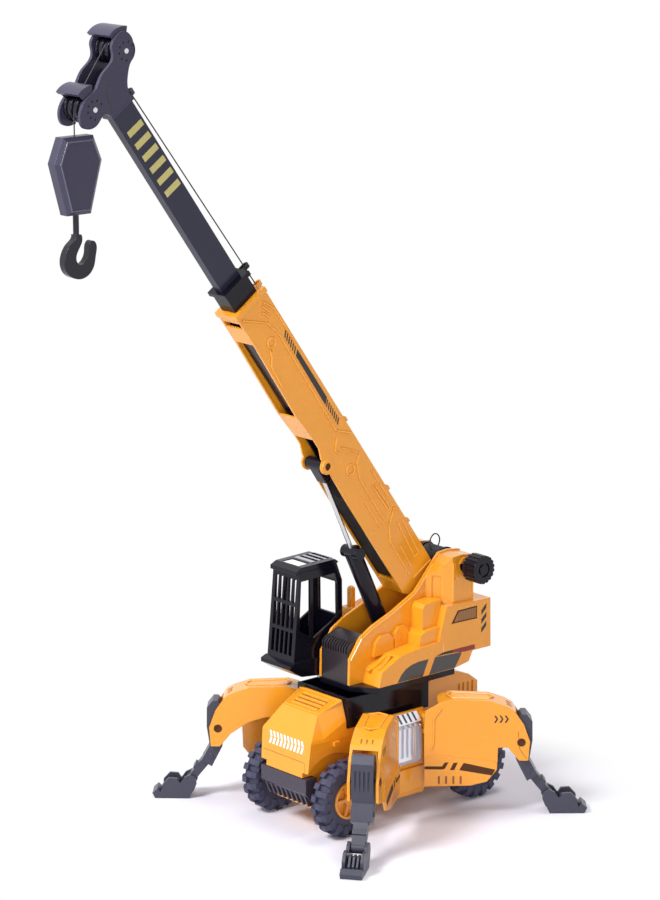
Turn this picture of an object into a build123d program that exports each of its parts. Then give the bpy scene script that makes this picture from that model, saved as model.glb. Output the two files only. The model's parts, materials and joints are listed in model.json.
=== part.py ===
from build123d import *
import os
from math import atan2, cos, degrees, hypot, radians, sin

# Toy crane truck, in millimetres.  X points to the nose, Y to the vehicle's left and Z up.
# The origin is where the slewing axis meets the ground.

# ------------------------------------------------------------------ fits and walls
RUN = 0.08  # radial clearance of a turning fit
SLIDE = 0.1  # clearance on each side of a sliding fit
GAP = 0.5  # clearance between neighbours that move apart
WALL = 1.8  # moulded wall of the bodywork
SEAT = 0.3  # clearance of a piece that is let into a pocket

# ------------------------------------------------------------------ wheels
WHEEL_R = 24.6
TYRE_W = 13.0
RIM_R = 12.4
TREAD_DEPTH = 2.4
TREAD_LUGS = 18
LUG_WIDTH = 3.9
AXLE_R = 1.5
FRONT_AXLE_X = 57.5
REAR_AXLE_X = -56.5
WHEEL_Y = 33.9
HUB_SPOKES = 5
HUB_BOSS_R = 3.8
HUB_DISH = 3.2

# ------------------------------------------------------------------ chassis
SILL_Z = 12.0
SILL_TOP_Z = 31.0
DECK_Z = 66.0
RIM_HEIGHT = 3.4
DECK_HALF_W = 31.0
SILL_HALF_W = DECK_HALF_W + 2.0
DECK_FRONT_X = 26.5
DECK_REAR_X = -13.5
SPINE_HALF_W = 17.0
SPINE_Z = 16.0
SPINE_TOP_Z = 54.0
SPINE_FRONT_X = 70.0
SPINE_REAR_X = -72.0
HOOD_REAR_X = 34.0
NOSE_X = 78.7
NOSE_Z = 38.3
NOSE_BROW_X = 76.5
NOSE_BROW_Z = 62.0
NOSE_TOP_X = 65.3
NOSE_TOP_Z = 76.8
NOSE_HALF_W = 22.7
NOSE_BROW_HALF_W = 23.8
NOSE_TOP_HALF_W = 17.0
HOOD_TOP_HALF_W = 22.0
BUMPER_Z = 21.0
BUMPER_DEPTH = 13.0
BUMPER_RIBS = 9
ARCH_R = 27.0
REAR_COVER_HALF_W = 20.0
REAR_COVER_TOP_Z = 84.6
REAR_COVER_END_Z = 73.0
REAR_SLOTS = 4
GRILLE_FRONT_X = 13.5
GRILLE_REAR_X = -7.2
GRILLE_BOTTOM_Z = 35.0
GRILLE_TOP_Z = 60.0
GRILLE_Y = DECK_HALF_W + 5.0
GRILLE_SLOTS = 4

# ------------------------------------------------------------------ turntable
TRAY_FRONT_X = 45.9
TRAY_REAR_X = -23.6
TRAY_HALF_W = 24.8
TRAY_TOP_Z = 85.5
TRAY_WALL = 1.6
PIVOT_R = 16.0
PIVOT_RING_WALL = 3.0
BASE_Z = 86.2
BASE_TOP_Z = 90.0
BASE_REAR_X = -40.7
BASE_CORNER_X = 25.5
BASE_FRONT_X = 36.0
BASE_HALF_W = 31.1

# ------------------------------------------------------------------ legs
LEG_HINGE_X = {"front": 26.0, "rear": -13.0}
LEG_HINGE_Y = DECK_HALF_W + 4.5
LEG_HALF_W = 10.0
LEG_REST = {"front_left": 37.1, "front_right": 42.8, "rear_left": 40.2, "rear_right": 40.2}
HINGE_PIN_R = 1.6
HINGE_BARREL_R = 4.2
HINGE_Z = 57.0
HINGE_TOP_Z = 64.0
HINGE_LUG = 3.2
LEG_ROOT = 6.2
LEG_TOP_Z = 78.7
KNEE_S = 60.15
KNEE_Z = 49.6
KNEE_PIN_R = 1.8
SHIN_HALF_W = 7.0
LINK_HALF_W = 4.5
FOOT_HALF_W = 6.9
ANKLE_S = 78.5
ANKLE_Z = 11.8
ANKLE_PIN_R = 1.4
HEEL_S = 79.5
TOE_S = 102.0

# ------------------------------------------------------------------ superstructure
PLATE_Y = 14.7  # outer face of the two boom plates
PLATE_T = 2.0
SIDE_Y = 31.0
TOWER_Y = 27.8
BODY_REAR_X = -72.5
BODY_TOP_Z = 132.0
CAB_NEAR_Y = -17.5
CAB_FAR_Y = -43.8
CAB_WALL = 1.6
CAB_FLOOR_TOP_Z = 101.8
LOUVRE_SLOTS = 10
STACK_R = 2.7
STACK_SEAT_Z = 127.2
WINCH_X = -52.2
WINCH_Z = 157.3
WINCH_SHAFT_R = 1.6
DRUM_R = 4.0
DRUM_FLANGE_R = 8.2
DRUM_HALF_L = 10.0
DRUM_FLANGE_T = 1.5
WOUND_R = 6.6
KNOB_R = 9.4
KNOB_L = 10.8
KNOB_FACE_Y = 45.8
KNOB_GROOVES = 18

# ------------------------------------------------------------------ boom, in its own frame
BOOM_ELEV = 54.4  # elevation at rest
EAR_X = 50.27
EAR_Z = 235.79
BOOM_HALF_W = 9.6
BOOM_WALL = 1.22
BOOM_BACK_H = 28.3
BOOM_PIVOT_S = -125.6
BOOM_PIVOT_H = 16.2
BOOM_PIVOT_R = 2.5
FOOT_R = 10.3
COLLAR_S = 128.3
COLLAR_L = 3.6
COLLAR_LIP = 0.7
COLLAR_LINING = 8.0  # length over which the collar closes down on the sleeve
LUFF_PIN_R = 1.3
EAR_R = 5.3
EAR_ROOM_R = 6.4  # room for the cylinder's cross bar between the ears
SLEEVE_REAR_S = -80.0
SLEEVE_FLOOR_S = 18.5  # the sleeve's floor is cut away behind this, clear of the ears
SLEEVE_TOP_S = 143.5
SLEEVE_HALF_W = 6.6
SLEEVE_H = 4.2
SLEEVE_TOP_H = 24.6
SLEEVE_WALL = 1.2
SHOE_L = 6.0  # the thicker rear end of each sliding stage
SHOE_H = 5.6
RAIL_IN_Y = 7.2  # the rails that the sleeve's shoe rests on
INNER_REAR_S = 36.0
INNER_TOP_S = 285.0
INNER_H = SLEEVE_H + SLEEVE_WALL + SLIDE
INNER_TOP_H = SLEEVE_TOP_H - 2.2
INNER_HALF_W = 3.3
INNER_WALL = 1.1
LINE_R = 0.4
LINE_REAR_S = 60.0
LINE_END_S = 284.4  # the hoist line enters the head here
LINE_END_H = 26.0
LINE_SLOPE = 0.025  # the line drops towards the head by this much for each millimetre
LINE_SLOT_HALF_W = 1.0
LINE_SLOT_H = 25.9
EYELET_HALF_W = 2.2
HEAD_HALF_W = 11.0
HEAD_PLATE_T = 2.2
UPPER_PIN_S = 311.6
UPPER_PIN_H = 32.2
LOWER_PIN_S = 298.8
LOWER_PIN_H = -5.4
HEAD_PIN_R = 1.5
SHEAVE_R = 8.6
SHEAVE_GROOVE_R = 6.6
SHEAVE_COUNT = 3
VISOR_R = 12.2
VISOR_T = 2.2
VISOR_START = -14.0
UPPER_VISOR_END = 44.0
LOWER_VISOR_END = 33.0

# ------------------------------------------------------------------ luff cylinder
LUFF_BASE_X = -11.5
LUFF_BASE_Z = 105.0
LUFF_BASE_R = 2.5
BARREL_R = 5.5
BARREL_BORE_R = 4.3
BARREL_L = 77.0
ROD_R = 1.5
CLEVIS_L = 13.0
BUSH_R = 4.0
BUSH_PLAY = 1.45  # the opened pivot of the linkage

# ------------------------------------------------------------------ hook block
HOOK_LINE_GAP = 15.4  # from the lower pin down to the block
HOOK_SWING_DROP = 8.0  # the block swings about a point this far below the lower pin
SWING_EYE_R = 0.7
BLOCK_TOP_HALF = 11.0
BLOCK_WIDE_HALF = 17.0
BLOCK_BOTTOM_HALF = 8.6
BLOCK_SHOULDER = 15.0
BLOCK_H = 45.7
BLOCK_T = 11.0
SHANK_R = 1.8
HOOK_NECK_DROP = 11.8  # from the block down to the top of the hook's flat body
HOOK_T = 5.0


# ------------------------------------------------------------------ drawing helpers
def flat(points):
    """A filled outline with its points put in anticlockwise order, so that it always faces up."""
    turns = zip(points, points[1:] + points[:1])
    area = sum(a[0] * b[1] - b[0] * a[1] for a, b in turns)
    return Polygon(*(points if area > 0 else points[::-1]), align=None)


def side_prism(points, y0, y1):
    """An outline in X and Z, carried along Y from y0 to y1."""
    slab = extrude(flat(points), amount=abs(y1 - y0))
    return Pos(0, max(y0, y1), 0) * (Rot(90, 0, 0) * slab)


def smooth_prism(points, y0, y1):
    """Side outline drawn as one smooth curve and closed by a straight edge, stretched along Y."""
    curve = Spline([(x, z) for x, z in points])
    face = make_face([curve.edge(), Line(points[-1], points[0]).edge()]).faces()[0]
    face = face if face.normal_at().Z > 0 else -face
    return Pos(0, y1, 0) * (Rot(90, 0, 0) * extrude(face, amount=y1 - y0))


def plan_prism(points, z0, z1):
    """An outline in X and Y, carried up from z0 to z1."""
    return Pos(0, 0, z0) * extrude(flat(points), amount=z1 - z0)


def front_prism(points, x0, x1):
    """An outline in Y and Z, carried along X from x0 to x1."""
    plane = Plane(origin=(x0, 0, 0), x_dir=(0, 1, 0), z_dir=(1, 0, 0))
    return extrude(plane * flat(points), amount=x1 - x0)


def block(x0, x1, y0, y1, z0, z1):
    """A box by its two ends on each axis."""
    centre = ((x0 + x1) / 2, (y0 + y1) / 2, (z0 + z1) / 2)
    return Pos(*centre) * Box(abs(x1 - x0), abs(y1 - y0), abs(z1 - z0))


def bar_y(x, z, radius, y0, y1):
    """A round bar along Y."""
    return Pos(x, (y0 + y1) / 2, z) * (Rot(90, 0, 0) * Cylinder(radius, abs(y1 - y0)))


def post(x, y, radius, z0, z1):
    """A round bar along Z."""
    return Pos(x, y, (z0 + z1) / 2) * Cylinder(radius, z1 - z0)


def bar_between(start, end, radius):
    """A round bar from one point to another."""
    axis = Vector(*end) - Vector(*start)
    plane = Plane(origin=start, z_dir=axis.normalized())
    return plane * Cylinder(radius, axis.length, align=(Align.CENTER, Align.CENTER, Align.MIN))


def both_sides(solid):
    """A solid and its mirror image across the vehicle."""
    return [solid, mirror(solid, about=Plane.XZ)]


def joined(solids):
    """One solid from several that touch or overlap."""
    first, *rest = solids
    return first.fuse(*rest) if rest else first


# ------------------------------------------------------------------ wheels
def make_tyre():
    """Carcass with two rows of tread lugs, about Y."""
    half = TYRE_W / 2
    base_r = WHEEL_R - TREAD_DEPTH
    shoulder = base_r - 2.4
    carcass = [
        (RIM_R, -half + 1.4),
        (shoulder, -half + 0.5),
        (base_r, -half + 2.6),
        (base_r, half - 2.6),
        (shoulder, half - 0.5),
        (RIM_R, half - 1.4),
    ]
    hull = [
        (shoulder - 3.0, -half),
        (WHEEL_R - 2.6, -half),
        (WHEEL_R, -half + 2.4),
        (WHEEL_R, half - 2.4),
        (WHEEL_R - 2.6, half),
        (shoulder - 3.0, half),
    ]
    ring = revolve(flat(carcass), axis=Axis.Y)
    envelope = revolve(flat(hull), axis=Axis.Y)
    reach = WHEEL_R + 1.0
    lug_length = reach - (shoulder - 3.0)
    bars = []
    for side, start in ((1, 0.0), (-1, 0.5)):
        for i in range(TREAD_LUGS):
            turn = 360 * (i + start) / TREAD_LUGS
            bar = Pos(reach - lug_length / 2, side * half / 2, 0) * Box(lug_length, half, LUG_WIDTH)
            bars.append(Rot(0, turn, 0) * bar)
    lugs = envelope & Compound(bars)
    return joined([ring] + list(lugs.solids()))


def make_hub():
    """Rim with a dished face, spokes and a closed boss; its face looks to +Y."""
    half = TYRE_W / 2
    rim_face = half - 0.4
    dish = rim_face - HUB_DISH
    profile = [
        (AXLE_R, -half + 1.4),
        (RIM_R, -half + 1.4),
        (RIM_R, rim_face),
        (RIM_R - 1.6, rim_face),
        (RIM_R - 2.4, dish),
        (HUB_BOSS_R, dish),
        (HUB_BOSS_R, rim_face - 0.4),
        (0, rim_face - 0.4),
        (0, rim_face - 2.4),
        (AXLE_R, rim_face - 2.4),
    ]
    body = revolve(flat(profile), axis=Axis.Y)
    spokes = []
    spoke_l = RIM_R - HUB_BOSS_R - 1.2
    for i in range(HUB_SPOKES):
        spoke = Box(spoke_l, HUB_DISH * 0.7, 2.2)
        spoke = Pos(HUB_BOSS_R + spoke_l / 2 - 0.4, dish + HUB_DISH * 0.35, 0) * spoke
        spokes.append(Rot(0, 360 * i / HUB_SPOKES, 0) * spoke)
    return joined([body] + spokes)


def make_wheels(parts):
    tyre = make_tyre()
    hub = make_hub()
    axle_half = WHEEL_Y + TYRE_W / 2 - 0.4 - 2.4
    for end, x in (("front", FRONT_AXLE_X), ("rear", REAR_AXLE_X)):
        parts[end + "_axle"] = bar_y(x, WHEEL_R, AXLE_R, -axle_half, axle_half)
        for side, sign in (("left", 1), ("right", -1)):
            turned = (lambda s: s) if sign > 0 else (lambda s: mirror(s, about=Plane.XZ))
            place = Pos(x, sign * WHEEL_Y, WHEEL_R)
            parts[f"tyre_{end}_{side}"] = place * turned(tyre)
            parts[f"hub_{end}_{side}"] = place * turned(hub)


# ------------------------------------------------------------------ chassis
def hinge_places():
    """Where the four leg hinges stand."""
    return [(x, side * LEG_HINGE_Y) for x in LEG_HINGE_X.values() for side in (1, -1)]


def hinge_brackets():
    """Two lugs with a web at each leg hinge, above and below the leg's barrel."""
    solids = []
    for x, y in hinge_places():
        web_x = x + HINGE_BARREL_R * (-1 if x > 0 else 1)
        edge_x = DECK_FRONT_X if x > 0 else DECK_REAR_X
        web_y = (DECK_HALF_W - 2) * (1 if y > 0 else -1)
        for z in (HINGE_Z - HINGE_LUG, HINGE_TOP_Z):
            lug = post(x, y, HINGE_BARREL_R + 0.4, z, z + HINGE_LUG)
            web = block(web_x, edge_x, web_y, y, z, z + HINGE_LUG)
            solids.append(joined([lug, web]))
    return solids


def make_tub():
    """Centre body with its rimmed deck, the axle spines and the leg hinge brackets."""
    half = DECK_HALF_W
    centre = block(DECK_REAR_X, DECK_FRONT_X, -half, half, SILL_Z, DECK_Z)
    rim_top = DECK_Z + RIM_HEIGHT
    rim = block(DECK_REAR_X, DECK_FRONT_X, -half, half, DECK_Z - 1, rim_top)
    well = block(DECK_REAR_X - 1, DECK_FRONT_X + 1, -half + WALL, half - WALL, DECK_Z, rim_top + 1)
    edge = SILL_HALF_W - half
    sill_outline = [
        (-SILL_HALF_W, SILL_TOP_Z),
        (-SILL_HALF_W, SILL_Z + 2 * edge),
        (-SILL_HALF_W + edge, SILL_Z),
        (SILL_HALF_W - edge, SILL_Z),
        (SILL_HALF_W, SILL_Z + 2 * edge),
        (SILL_HALF_W, SILL_TOP_Z),
    ]
    sill = front_prism(sill_outline, DECK_REAR_X, GRILLE_FRONT_X)
    spine = block(SPINE_REAR_X, SPINE_FRONT_X, -SPINE_HALF_W, SPINE_HALF_W, SPINE_Z, SPINE_TOP_Z)
    rear_top = SPINE_TOP_Z + 6
    rear_half = REAR_COVER_HALF_W
    rear = block(SPINE_REAR_X, DECK_REAR_X, -rear_half, rear_half, WHEEL_R + 8, rear_top)
    body = joined([centre, sill, spine, rear, rim - well] + hinge_brackets())
    inside = half - WALL
    room = block(DECK_REAR_X + WALL, DECK_FRONT_X - WALL, -inside, inside, SILL_Z + WALL, DECK_Z - WALL)
    narrow = SPINE_HALF_W - WALL
    front_room = block(
        DECK_FRONT_X - WALL - 1,
        SPINE_FRONT_X - WALL,
        -narrow,
        narrow,
        SPINE_Z + WALL,
        SPINE_TOP_Z - WALL,
    )
    rear_room = block(
        SPINE_REAR_X + WALL,
        DECK_REAR_X + WALL + 1,
        -narrow,
        narrow,
        SPINE_Z + WALL,
        rear_top - WALL,
    )
    low, high = HINGE_Z - HINGE_LUG, HINGE_TOP_Z + HINGE_LUG
    pin_holes = [post(x, y, HINGE_PIN_R, low - 1, high + 1) for x, y in hinge_places()]
    bores = [bar_y(x, WHEEL_R, AXLE_R + RUN, -half, half) for x in (FRONT_AXLE_X, REAR_AXLE_X)]
    return body.cut(room, front_room, rear_room, *pin_holes, *bores)


def hood_form():
    """The outer form of the nose: a side outline cut by sloping flanks."""
    outline = [
        (HOOD_REAR_X, NOSE_Z + 8),
        (NOSE_X - 12, NOSE_Z),
        (NOSE_X, NOSE_Z),
        (NOSE_BROW_X, NOSE_BROW_Z),
        (NOSE_TOP_X, NOSE_TOP_Z),
        (TRAY_FRONT_X + GAP, TRAY_TOP_Z - 1.5),
        (TRAY_FRONT_X + GAP, DECK_Z - SEAT),
        (HOOD_REAR_X, DECK_Z - SEAT),
    ]
    side = side_prism(outline, -NOSE_BROW_HALF_W, NOSE_BROW_HALF_W)

    def section(x, top_half, shoulder_z):
        plane = Plane(origin=(x, 0, 0), x_dir=(0, 1, 0), z_dir=(1, 0, 0))
        right = [
            (NOSE_HALF_W, NOSE_Z - 2),
            (NOSE_BROW_HALF_W, NOSE_BROW_Z - 1),
            (NOSE_BROW_HALF_W - 0.4, shoulder_z),
            (top_half, TRAY_TOP_Z + 1),
        ]
        left = [(-y, z) for y, z in reversed(right)]
        return plane * flat(right + left)

    lift = (TRAY_TOP_Z + 1 - NOSE_TOP_Z) / (NOSE_TOP_Z - NOSE_BROW_Z)
    front_top = NOSE_TOP_HALF_W - lift * (NOSE_BROW_HALF_W - NOSE_TOP_HALF_W)
    back = section(HOOD_REAR_X - 1, HOOD_TOP_HALF_W, NOSE_TOP_Z)
    middle = section(NOSE_TOP_X, front_top, NOSE_BROW_Z + 1)
    front = section(NOSE_X + 1, front_top, NOSE_BROW_Z + 1)
    flanks = joined([loft([back, middle], ruled=True), loft([middle, front], ruled=True)])
    return side & flanks


def make_hood():
    """Hollow orange nose over the front spine, with its wheel arches."""
    hollow = side_prism(
        [
            (HOOD_REAR_X - 1, NOSE_Z - 5),
            (NOSE_X - 2 * WALL, NOSE_Z - 5),
            (NOSE_BROW_X - 2 * WALL, NOSE_BROW_Z - WALL),
            (NOSE_TOP_X - WALL, NOSE_TOP_Z - 3 * WALL),
            (TRAY_FRONT_X + 2 * WALL, NOSE_TOP_Z - 3 * WALL),
            (TRAY_FRONT_X + 2 * WALL, DECK_Z - 2 * WALL),
            (HOOD_REAR_X - 1, DECK_Z - 2 * WALL),
        ],
        -SPINE_HALF_W - SEAT,
        SPINE_HALF_W + SEAT,
    )
    arches = [
        bar_y(FRONT_AXLE_X, WHEEL_R, ARCH_R, sign * (SPINE_HALF_W + 2 * SEAT), sign * DECK_HALF_W)
        for sign in (1, -1)
    ]
    skin = hood_form() - block(
        NOSE_X - 0.9, NOSE_X + 2, -NOSE_HALF_W - 2, NOSE_HALF_W + 2, NOSE_Z + 9.6, NOSE_Z + 10.4
    )
    flank = NOSE_BROW_HALF_W
    lug = [block(53, 58, sign * (flank - 0.8), sign * (flank + 1.6), 56.5, 59.5) for sign in (1, -1)]
    hood = skin.cut(hollow, *arches)
    return joined([hood] + lug)


def make_bumper():
    """Black bumper below the nose, with a row of ribs on its sloping foot."""
    slope_x = NOSE_X - 5.5
    body = side_prism(
        [
            (NOSE_X + 0.6, NOSE_Z - SEAT),
            (NOSE_X + 0.6, NOSE_Z - 10),
            (slope_x, BUMPER_Z),
            (SPINE_FRONT_X, BUMPER_Z),
            (SPINE_FRONT_X, NOSE_Z - SEAT),
        ],
        -NOSE_HALF_W + 0.6,
        NOSE_HALF_W - 0.6,
    )
    pitch = 2 * (NOSE_HALF_W - 4) / (BUMPER_RIBS - 1)
    rib = side_prism(
        [
            (NOSE_X + 0.4, NOSE_Z - 9.4),
            (slope_x + 1.6, BUMPER_Z - 2.2),
            (SPINE_FRONT_X, BUMPER_Z - 2.2),
            (SPINE_FRONT_X, NOSE_Z - 9.4),
        ],
        -0.8,
        0.8,
    )
    ribs = [Pos(0, (i - (BUMPER_RIBS - 1) / 2) * pitch, 0) * rib for i in range(BUMPER_RIBS)]
    return joined([body] + ribs)


def make_tray():
    """Open black tray on the deck, with the ring that the superstructure turns in."""
    box = block(TRAY_REAR_X, TRAY_FRONT_X, -TRAY_HALF_W, TRAY_HALF_W, DECK_Z, TRAY_TOP_Z)
    inner = block(
        TRAY_REAR_X + TRAY_WALL,
        TRAY_FRONT_X - TRAY_WALL,
        -TRAY_HALF_W + TRAY_WALL,
        TRAY_HALF_W - TRAY_WALL,
        DECK_Z + 2 * TRAY_WALL,
        TRAY_TOP_Z + 1,
    )
    ring = post(0, 0, PIVOT_R + PIVOT_RING_WALL, DECK_Z, TRAY_TOP_Z) - post(
        0, 0, PIVOT_R + RUN, DECK_Z + 2 * TRAY_WALL, TRAY_TOP_Z + 1
    )
    return joined([box - inner, ring])


def make_grilles():
    """Silver engine grilles, one on each flank."""
    pitch = (GRILLE_FRONT_X - GRILLE_REAR_X) / (GRILLE_SLOTS + 1)
    body = front_prism(
        [
            (DECK_HALF_W, GRILLE_BOTTOM_Z),
            (DECK_HALF_W, GRILLE_TOP_Z + 3.0),
            (GRILLE_Y, GRILLE_TOP_Z),
            (GRILLE_Y, GRILLE_BOTTOM_Z + 3.0),
            (GRILLE_Y - 1.5, GRILLE_BOTTOM_Z),
        ],
        GRILLE_REAR_X,
        GRILLE_FRONT_X,
    )
    slots = [
        block(
            GRILLE_REAR_X + (i + 1) * pitch - 1.1,
            GRILLE_REAR_X + (i + 1) * pitch + 1.1,
            GRILLE_Y - 2.2,
            GRILLE_Y + 1,
            GRILLE_BOTTOM_Z + 5.5,
            GRILLE_TOP_Z + 4,
        )
        for i in range(GRILLE_SLOTS)
    ]
    return Compound(both_sides(body.cut(*slots)))


def make_rear_cover():
    """Slotted engine cover behind the turntable."""
    front_x = TRAY_REAR_X - GAP
    outline = [
        (SPINE_REAR_X, SPINE_TOP_Z + 6),
        (SPINE_REAR_X, REAR_COVER_END_Z),
        (SPINE_REAR_X + 8, REAR_COVER_END_Z + 6),
        (-49.0, REAR_COVER_TOP_Z),
        (front_x - 6, REAR_COVER_TOP_Z - 2),
        (front_x, REAR_COVER_TOP_Z - 8),
        (front_x, SPINE_TOP_Z + 6),
    ]
    body = side_prism(outline, -REAR_COVER_HALF_W, REAR_COVER_HALF_W)
    hollow = block(
        SPINE_REAR_X + WALL,
        front_x - WALL,
        -REAR_COVER_HALF_W + WALL,
        REAR_COVER_HALF_W - WALL,
        SPINE_TOP_Z + 5,
        REAR_COVER_END_Z - WALL,
    )
    slots = [
        block(x, x + 2.0, sign * (REAR_COVER_HALF_W - 0.9), sign * (REAR_COVER_HALF_W + 1), 64.0, 74.0)
        for x in [-56.0 - 4.0 * i for i in range(REAR_SLOTS)]
        for sign in (1, -1)
    ]
    return body.cut(hollow, *slots)


def make_hinge_pins():
    """The four upright pins that the legs swing on."""
    low, high = HINGE_Z - HINGE_LUG, HINGE_TOP_Z + HINGE_LUG
    return Compound([post(x, y, HINGE_PIN_R, low, high) for x, y in hinge_places()])


def make_screws():
    """Screws under the centre body, heads against its floor."""
    screws = []
    for x in (DECK_REAR_X + 6, DECK_FRONT_X - 6):
        for y in (-DECK_HALF_W + 8, DECK_HALF_W - 8):
            head = post(x, y, 2.6, SILL_Z - 1.6, SILL_Z)
            screws.append(head - block(x - 2, x + 2, y - 0.4, y + 0.4, SILL_Z - 1.7, SILL_Z - 0.8))
    return Compound(screws)


def make_chassis(parts):
    parts["chassis_tub"] = make_tub()
    parts["nose_hood"] = make_hood()
    parts["front_bumper"] = make_bumper()
    parts["turntable_tray"] = make_tray()
    parts["side_grilles"] = make_grilles()
    parts["rear_cover"] = make_rear_cover()
    parts["leg_hinge_pins"] = make_hinge_pins()
    parts["chassis_screws"] = make_screws()


# ------------------------------------------------------------------ legs
def place_leg(solid, corner):
    """From the leg's own frame (along, outwards, up) to the vehicle."""
    end, side = corner.split("_")
    solid = Rot(0, 0, LEG_REST[corner]) * solid
    if end == "rear":
        solid = mirror(solid, about=Plane.YZ)
    if side == "right":
        solid = mirror(solid, about=Plane.XZ)
    sign = 1 if side == "left" else -1
    return Pos(LEG_HINGE_X[end], sign * LEG_HINGE_Y, 0) * solid


def make_leg_shell():
    """Orange inverted trough with a hinge barrel and the low fender plate on its outer side."""
    outer = [
        (LEG_ROOT, 57.5),
        (LEG_ROOT, LEG_TOP_Z - 3.0),
        (8.0, LEG_TOP_Z - 1.8),
        (15.0, LEG_TOP_Z),
        (40.0, LEG_TOP_Z - 1.2),
        (50.0, LEG_TOP_Z - 4.6),
        (55.2, LEG_TOP_Z - 7.6),
        (61.7, 61.6),
        (65.8, 50.1),
        (64.8, 37.2),
        (58.9, 37.2),
        (51.6, 46.1),
        (40.0, 54.0),
        (28.6, 57.5),
    ]
    form = side_prism(outer, -LEG_HALF_W, LEG_HALF_W)
    trough_outline = [
        (LEG_ROOT + 2.4, 30.0),
        (LEG_ROOT + 2.4, LEG_TOP_Z - 5.0),
        (9.0, LEG_TOP_Z - 1.6 - WALL),
        (15.0, LEG_TOP_Z - WALL),
        (40.0, LEG_TOP_Z - 1.2 - WALL),
        (50.0, LEG_TOP_Z - 4.6 - WALL),
        (53.6, LEG_TOP_Z - 7.0 - WALL),
        (53.6, LEG_TOP_Z - 10.3),
        (74.0, LEG_TOP_Z - 10.3),
        (74.0, 30.0),
    ]
    trough = side_prism(trough_outline, -LEG_HALF_W + WALL, LEG_HALF_W - WALL)
    fender_outline = [
        (-2.6, 40.3),
        (-2.6, 58.0),
        (-2.1, 70.7),
        (8.0, 76.6),
        (24.0, 70.0),
        (51.0, 60.0),
        (51.6, 46.1),
        (45.2, 46.1),
        (44.7, 31.2),
        (38.3, 23.1),
        (27.4, 20.4),
        (-2.4, 19.9),
    ]
    fender = side_prism(fender_outline, LEG_HALF_W - WALL, LEG_HALF_W)
    barrel = post(0, 0, HINGE_BARREL_R, HINGE_Z + RUN, HINGE_TOP_Z - RUN)
    neck = block(0, LEG_ROOT + 2.0, -4.2, 4.2, HINGE_Z + RUN, HINGE_TOP_Z - RUN)
    shell = joined([form - trough, fender, barrel, neck])
    pin_hole = post(0, 0, HINGE_PIN_R + RUN, HINGE_Z - 1, HINGE_TOP_Z + 1)
    knee_hole = bar_y(KNEE_S, KNEE_Z, KNEE_PIN_R, -LEG_HALF_W - 1, LEG_HALF_W + 1)
    return shell.cut(pin_hole, knee_hole)


def make_knee_pin():
    """Cross pin of the knee, held in the shell's two plates."""
    return bar_y(KNEE_S, KNEE_Z, KNEE_PIN_R, -LEG_HALF_W, LEG_HALF_W)


def make_shin():
    """Black shin: capped knee block, boxed middle with a boss and the stepped lower link."""
    box_profile = [
        (57.4, 36.4),
        (56.8, 60.0),
        (58.2, 65.0),
        (60.5, 67.5),
        (63.6, 67.5),
        (67.4, 62.6),
        (67.6, 50.0),
        (65.6, 36.8),
        (71.2, 26.6),
        (64.4, 22.4),
    ]
    knee = side_prism(box_profile, -SHIN_HALF_W, SHIN_HALF_W)
    link_profile = [
        (64.8, 27.4),
        (70.4, 27.4),
        (74.2, 22.6),
        (75.2, 23.4),
        (77.0, 20.6),
        (76.2, 19.8),
        (80.8, 13.2),
        (ANKLE_S + 1.6, ANKLE_Z - 2.6),
        (ANKLE_S - 2.2, ANKLE_Z - 2.2),
        (74.0, 14.2),
        (65.6, 24.6),
    ]
    link = side_prism(link_profile, -LINK_HALF_W, LINK_HALF_W)
    knuckle = bar_y(ANKLE_S, ANKLE_Z, 3.2, -LINK_HALF_W, LINK_HALF_W)
    boss = bar_y(65.0, 29.6, 1.7, -SHIN_HALF_W - 0.6, SHIN_HALF_W + 0.6)
    flutes = [block(66.6, 69.0, y - 0.65, y + 0.65, 44.0, 58.0) for y in (-4.2, -1.4, 1.4, 4.2)]
    shin = joined([knee, link, knuckle, boss]).cut(*flutes)
    knee_bore = bar_y(KNEE_S, KNEE_Z, KNEE_PIN_R + RUN, -20, 20)
    ankle_bore = bar_y(ANKLE_S, ANKLE_Z, ANKLE_PIN_R + RUN, -20, 20)
    return shin.cut(knee_bore, ankle_bore)


def make_foot():
    """Foot plate with two cheeks about the ankle, a raised instep and an upturned toe."""
    sole_outline = [
        (HEEL_S, 0.0),
        (TOE_S, 0.0),
        (TOE_S + 1.8, 3.6),
        (TOE_S - 1.4, 6.4),
        (TOE_S - 4.0, 4.0),
        (86.0, 6.4),
        (76.6, 6.0),
    ]
    sole = side_prism(sole_outline, -FOOT_HALF_W, FOOT_HALF_W)
    cheek_outline = [
        (76.6, 5.0),
        (74.6, 10.0),
        (75.4, 14.6),
        (78.6, 16.4),
        (82.6, 14.4),
        (85.4, 10.4),
        (87.4, 13.6),
        (93.0, 14.0),
        (97.2, 9.4),
        (97.6, 3.0),
        (84.0, 2.0),
    ]
    inner = LINK_HALF_W + 0.3
    cheeks = [side_prism(cheek_outline, sign * FOOT_HALF_W, sign * inner) for sign in (1, -1)]
    rib_outline = [(85.0, 2.0), (86.6, 11.0), (92.0, 11.4), (96.4, 6.0), (96.4, 2.0)]
    ribs = [side_prism(rib_outline, y - 0.7, y + 0.7) for y in (-2.6, 0.0, 2.6)]
    pin_half = FOOT_HALF_W - 0.4
    pin = bar_y(ANKLE_S, ANKLE_Z, ANKLE_PIN_R, -pin_half, pin_half)
    room = bar_y(ANKLE_S, ANKLE_Z, 3.2 + 0.6, -LINK_HALF_W - 0.2, LINK_HALF_W + 0.2)
    return joined([joined([sole] + cheeks + ribs) - room, pin])


def make_legs(parts):
    pieces = {
        "leg_shell": make_leg_shell(),
        "knee_pin": make_knee_pin(),
        "shin": make_shin(),
        "foot": make_foot(),
    }
    for corner in LEG_REST:
        for name, solid in pieces.items():
            parts[f"{name}_{corner}"] = place_leg(solid, corner)


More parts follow.
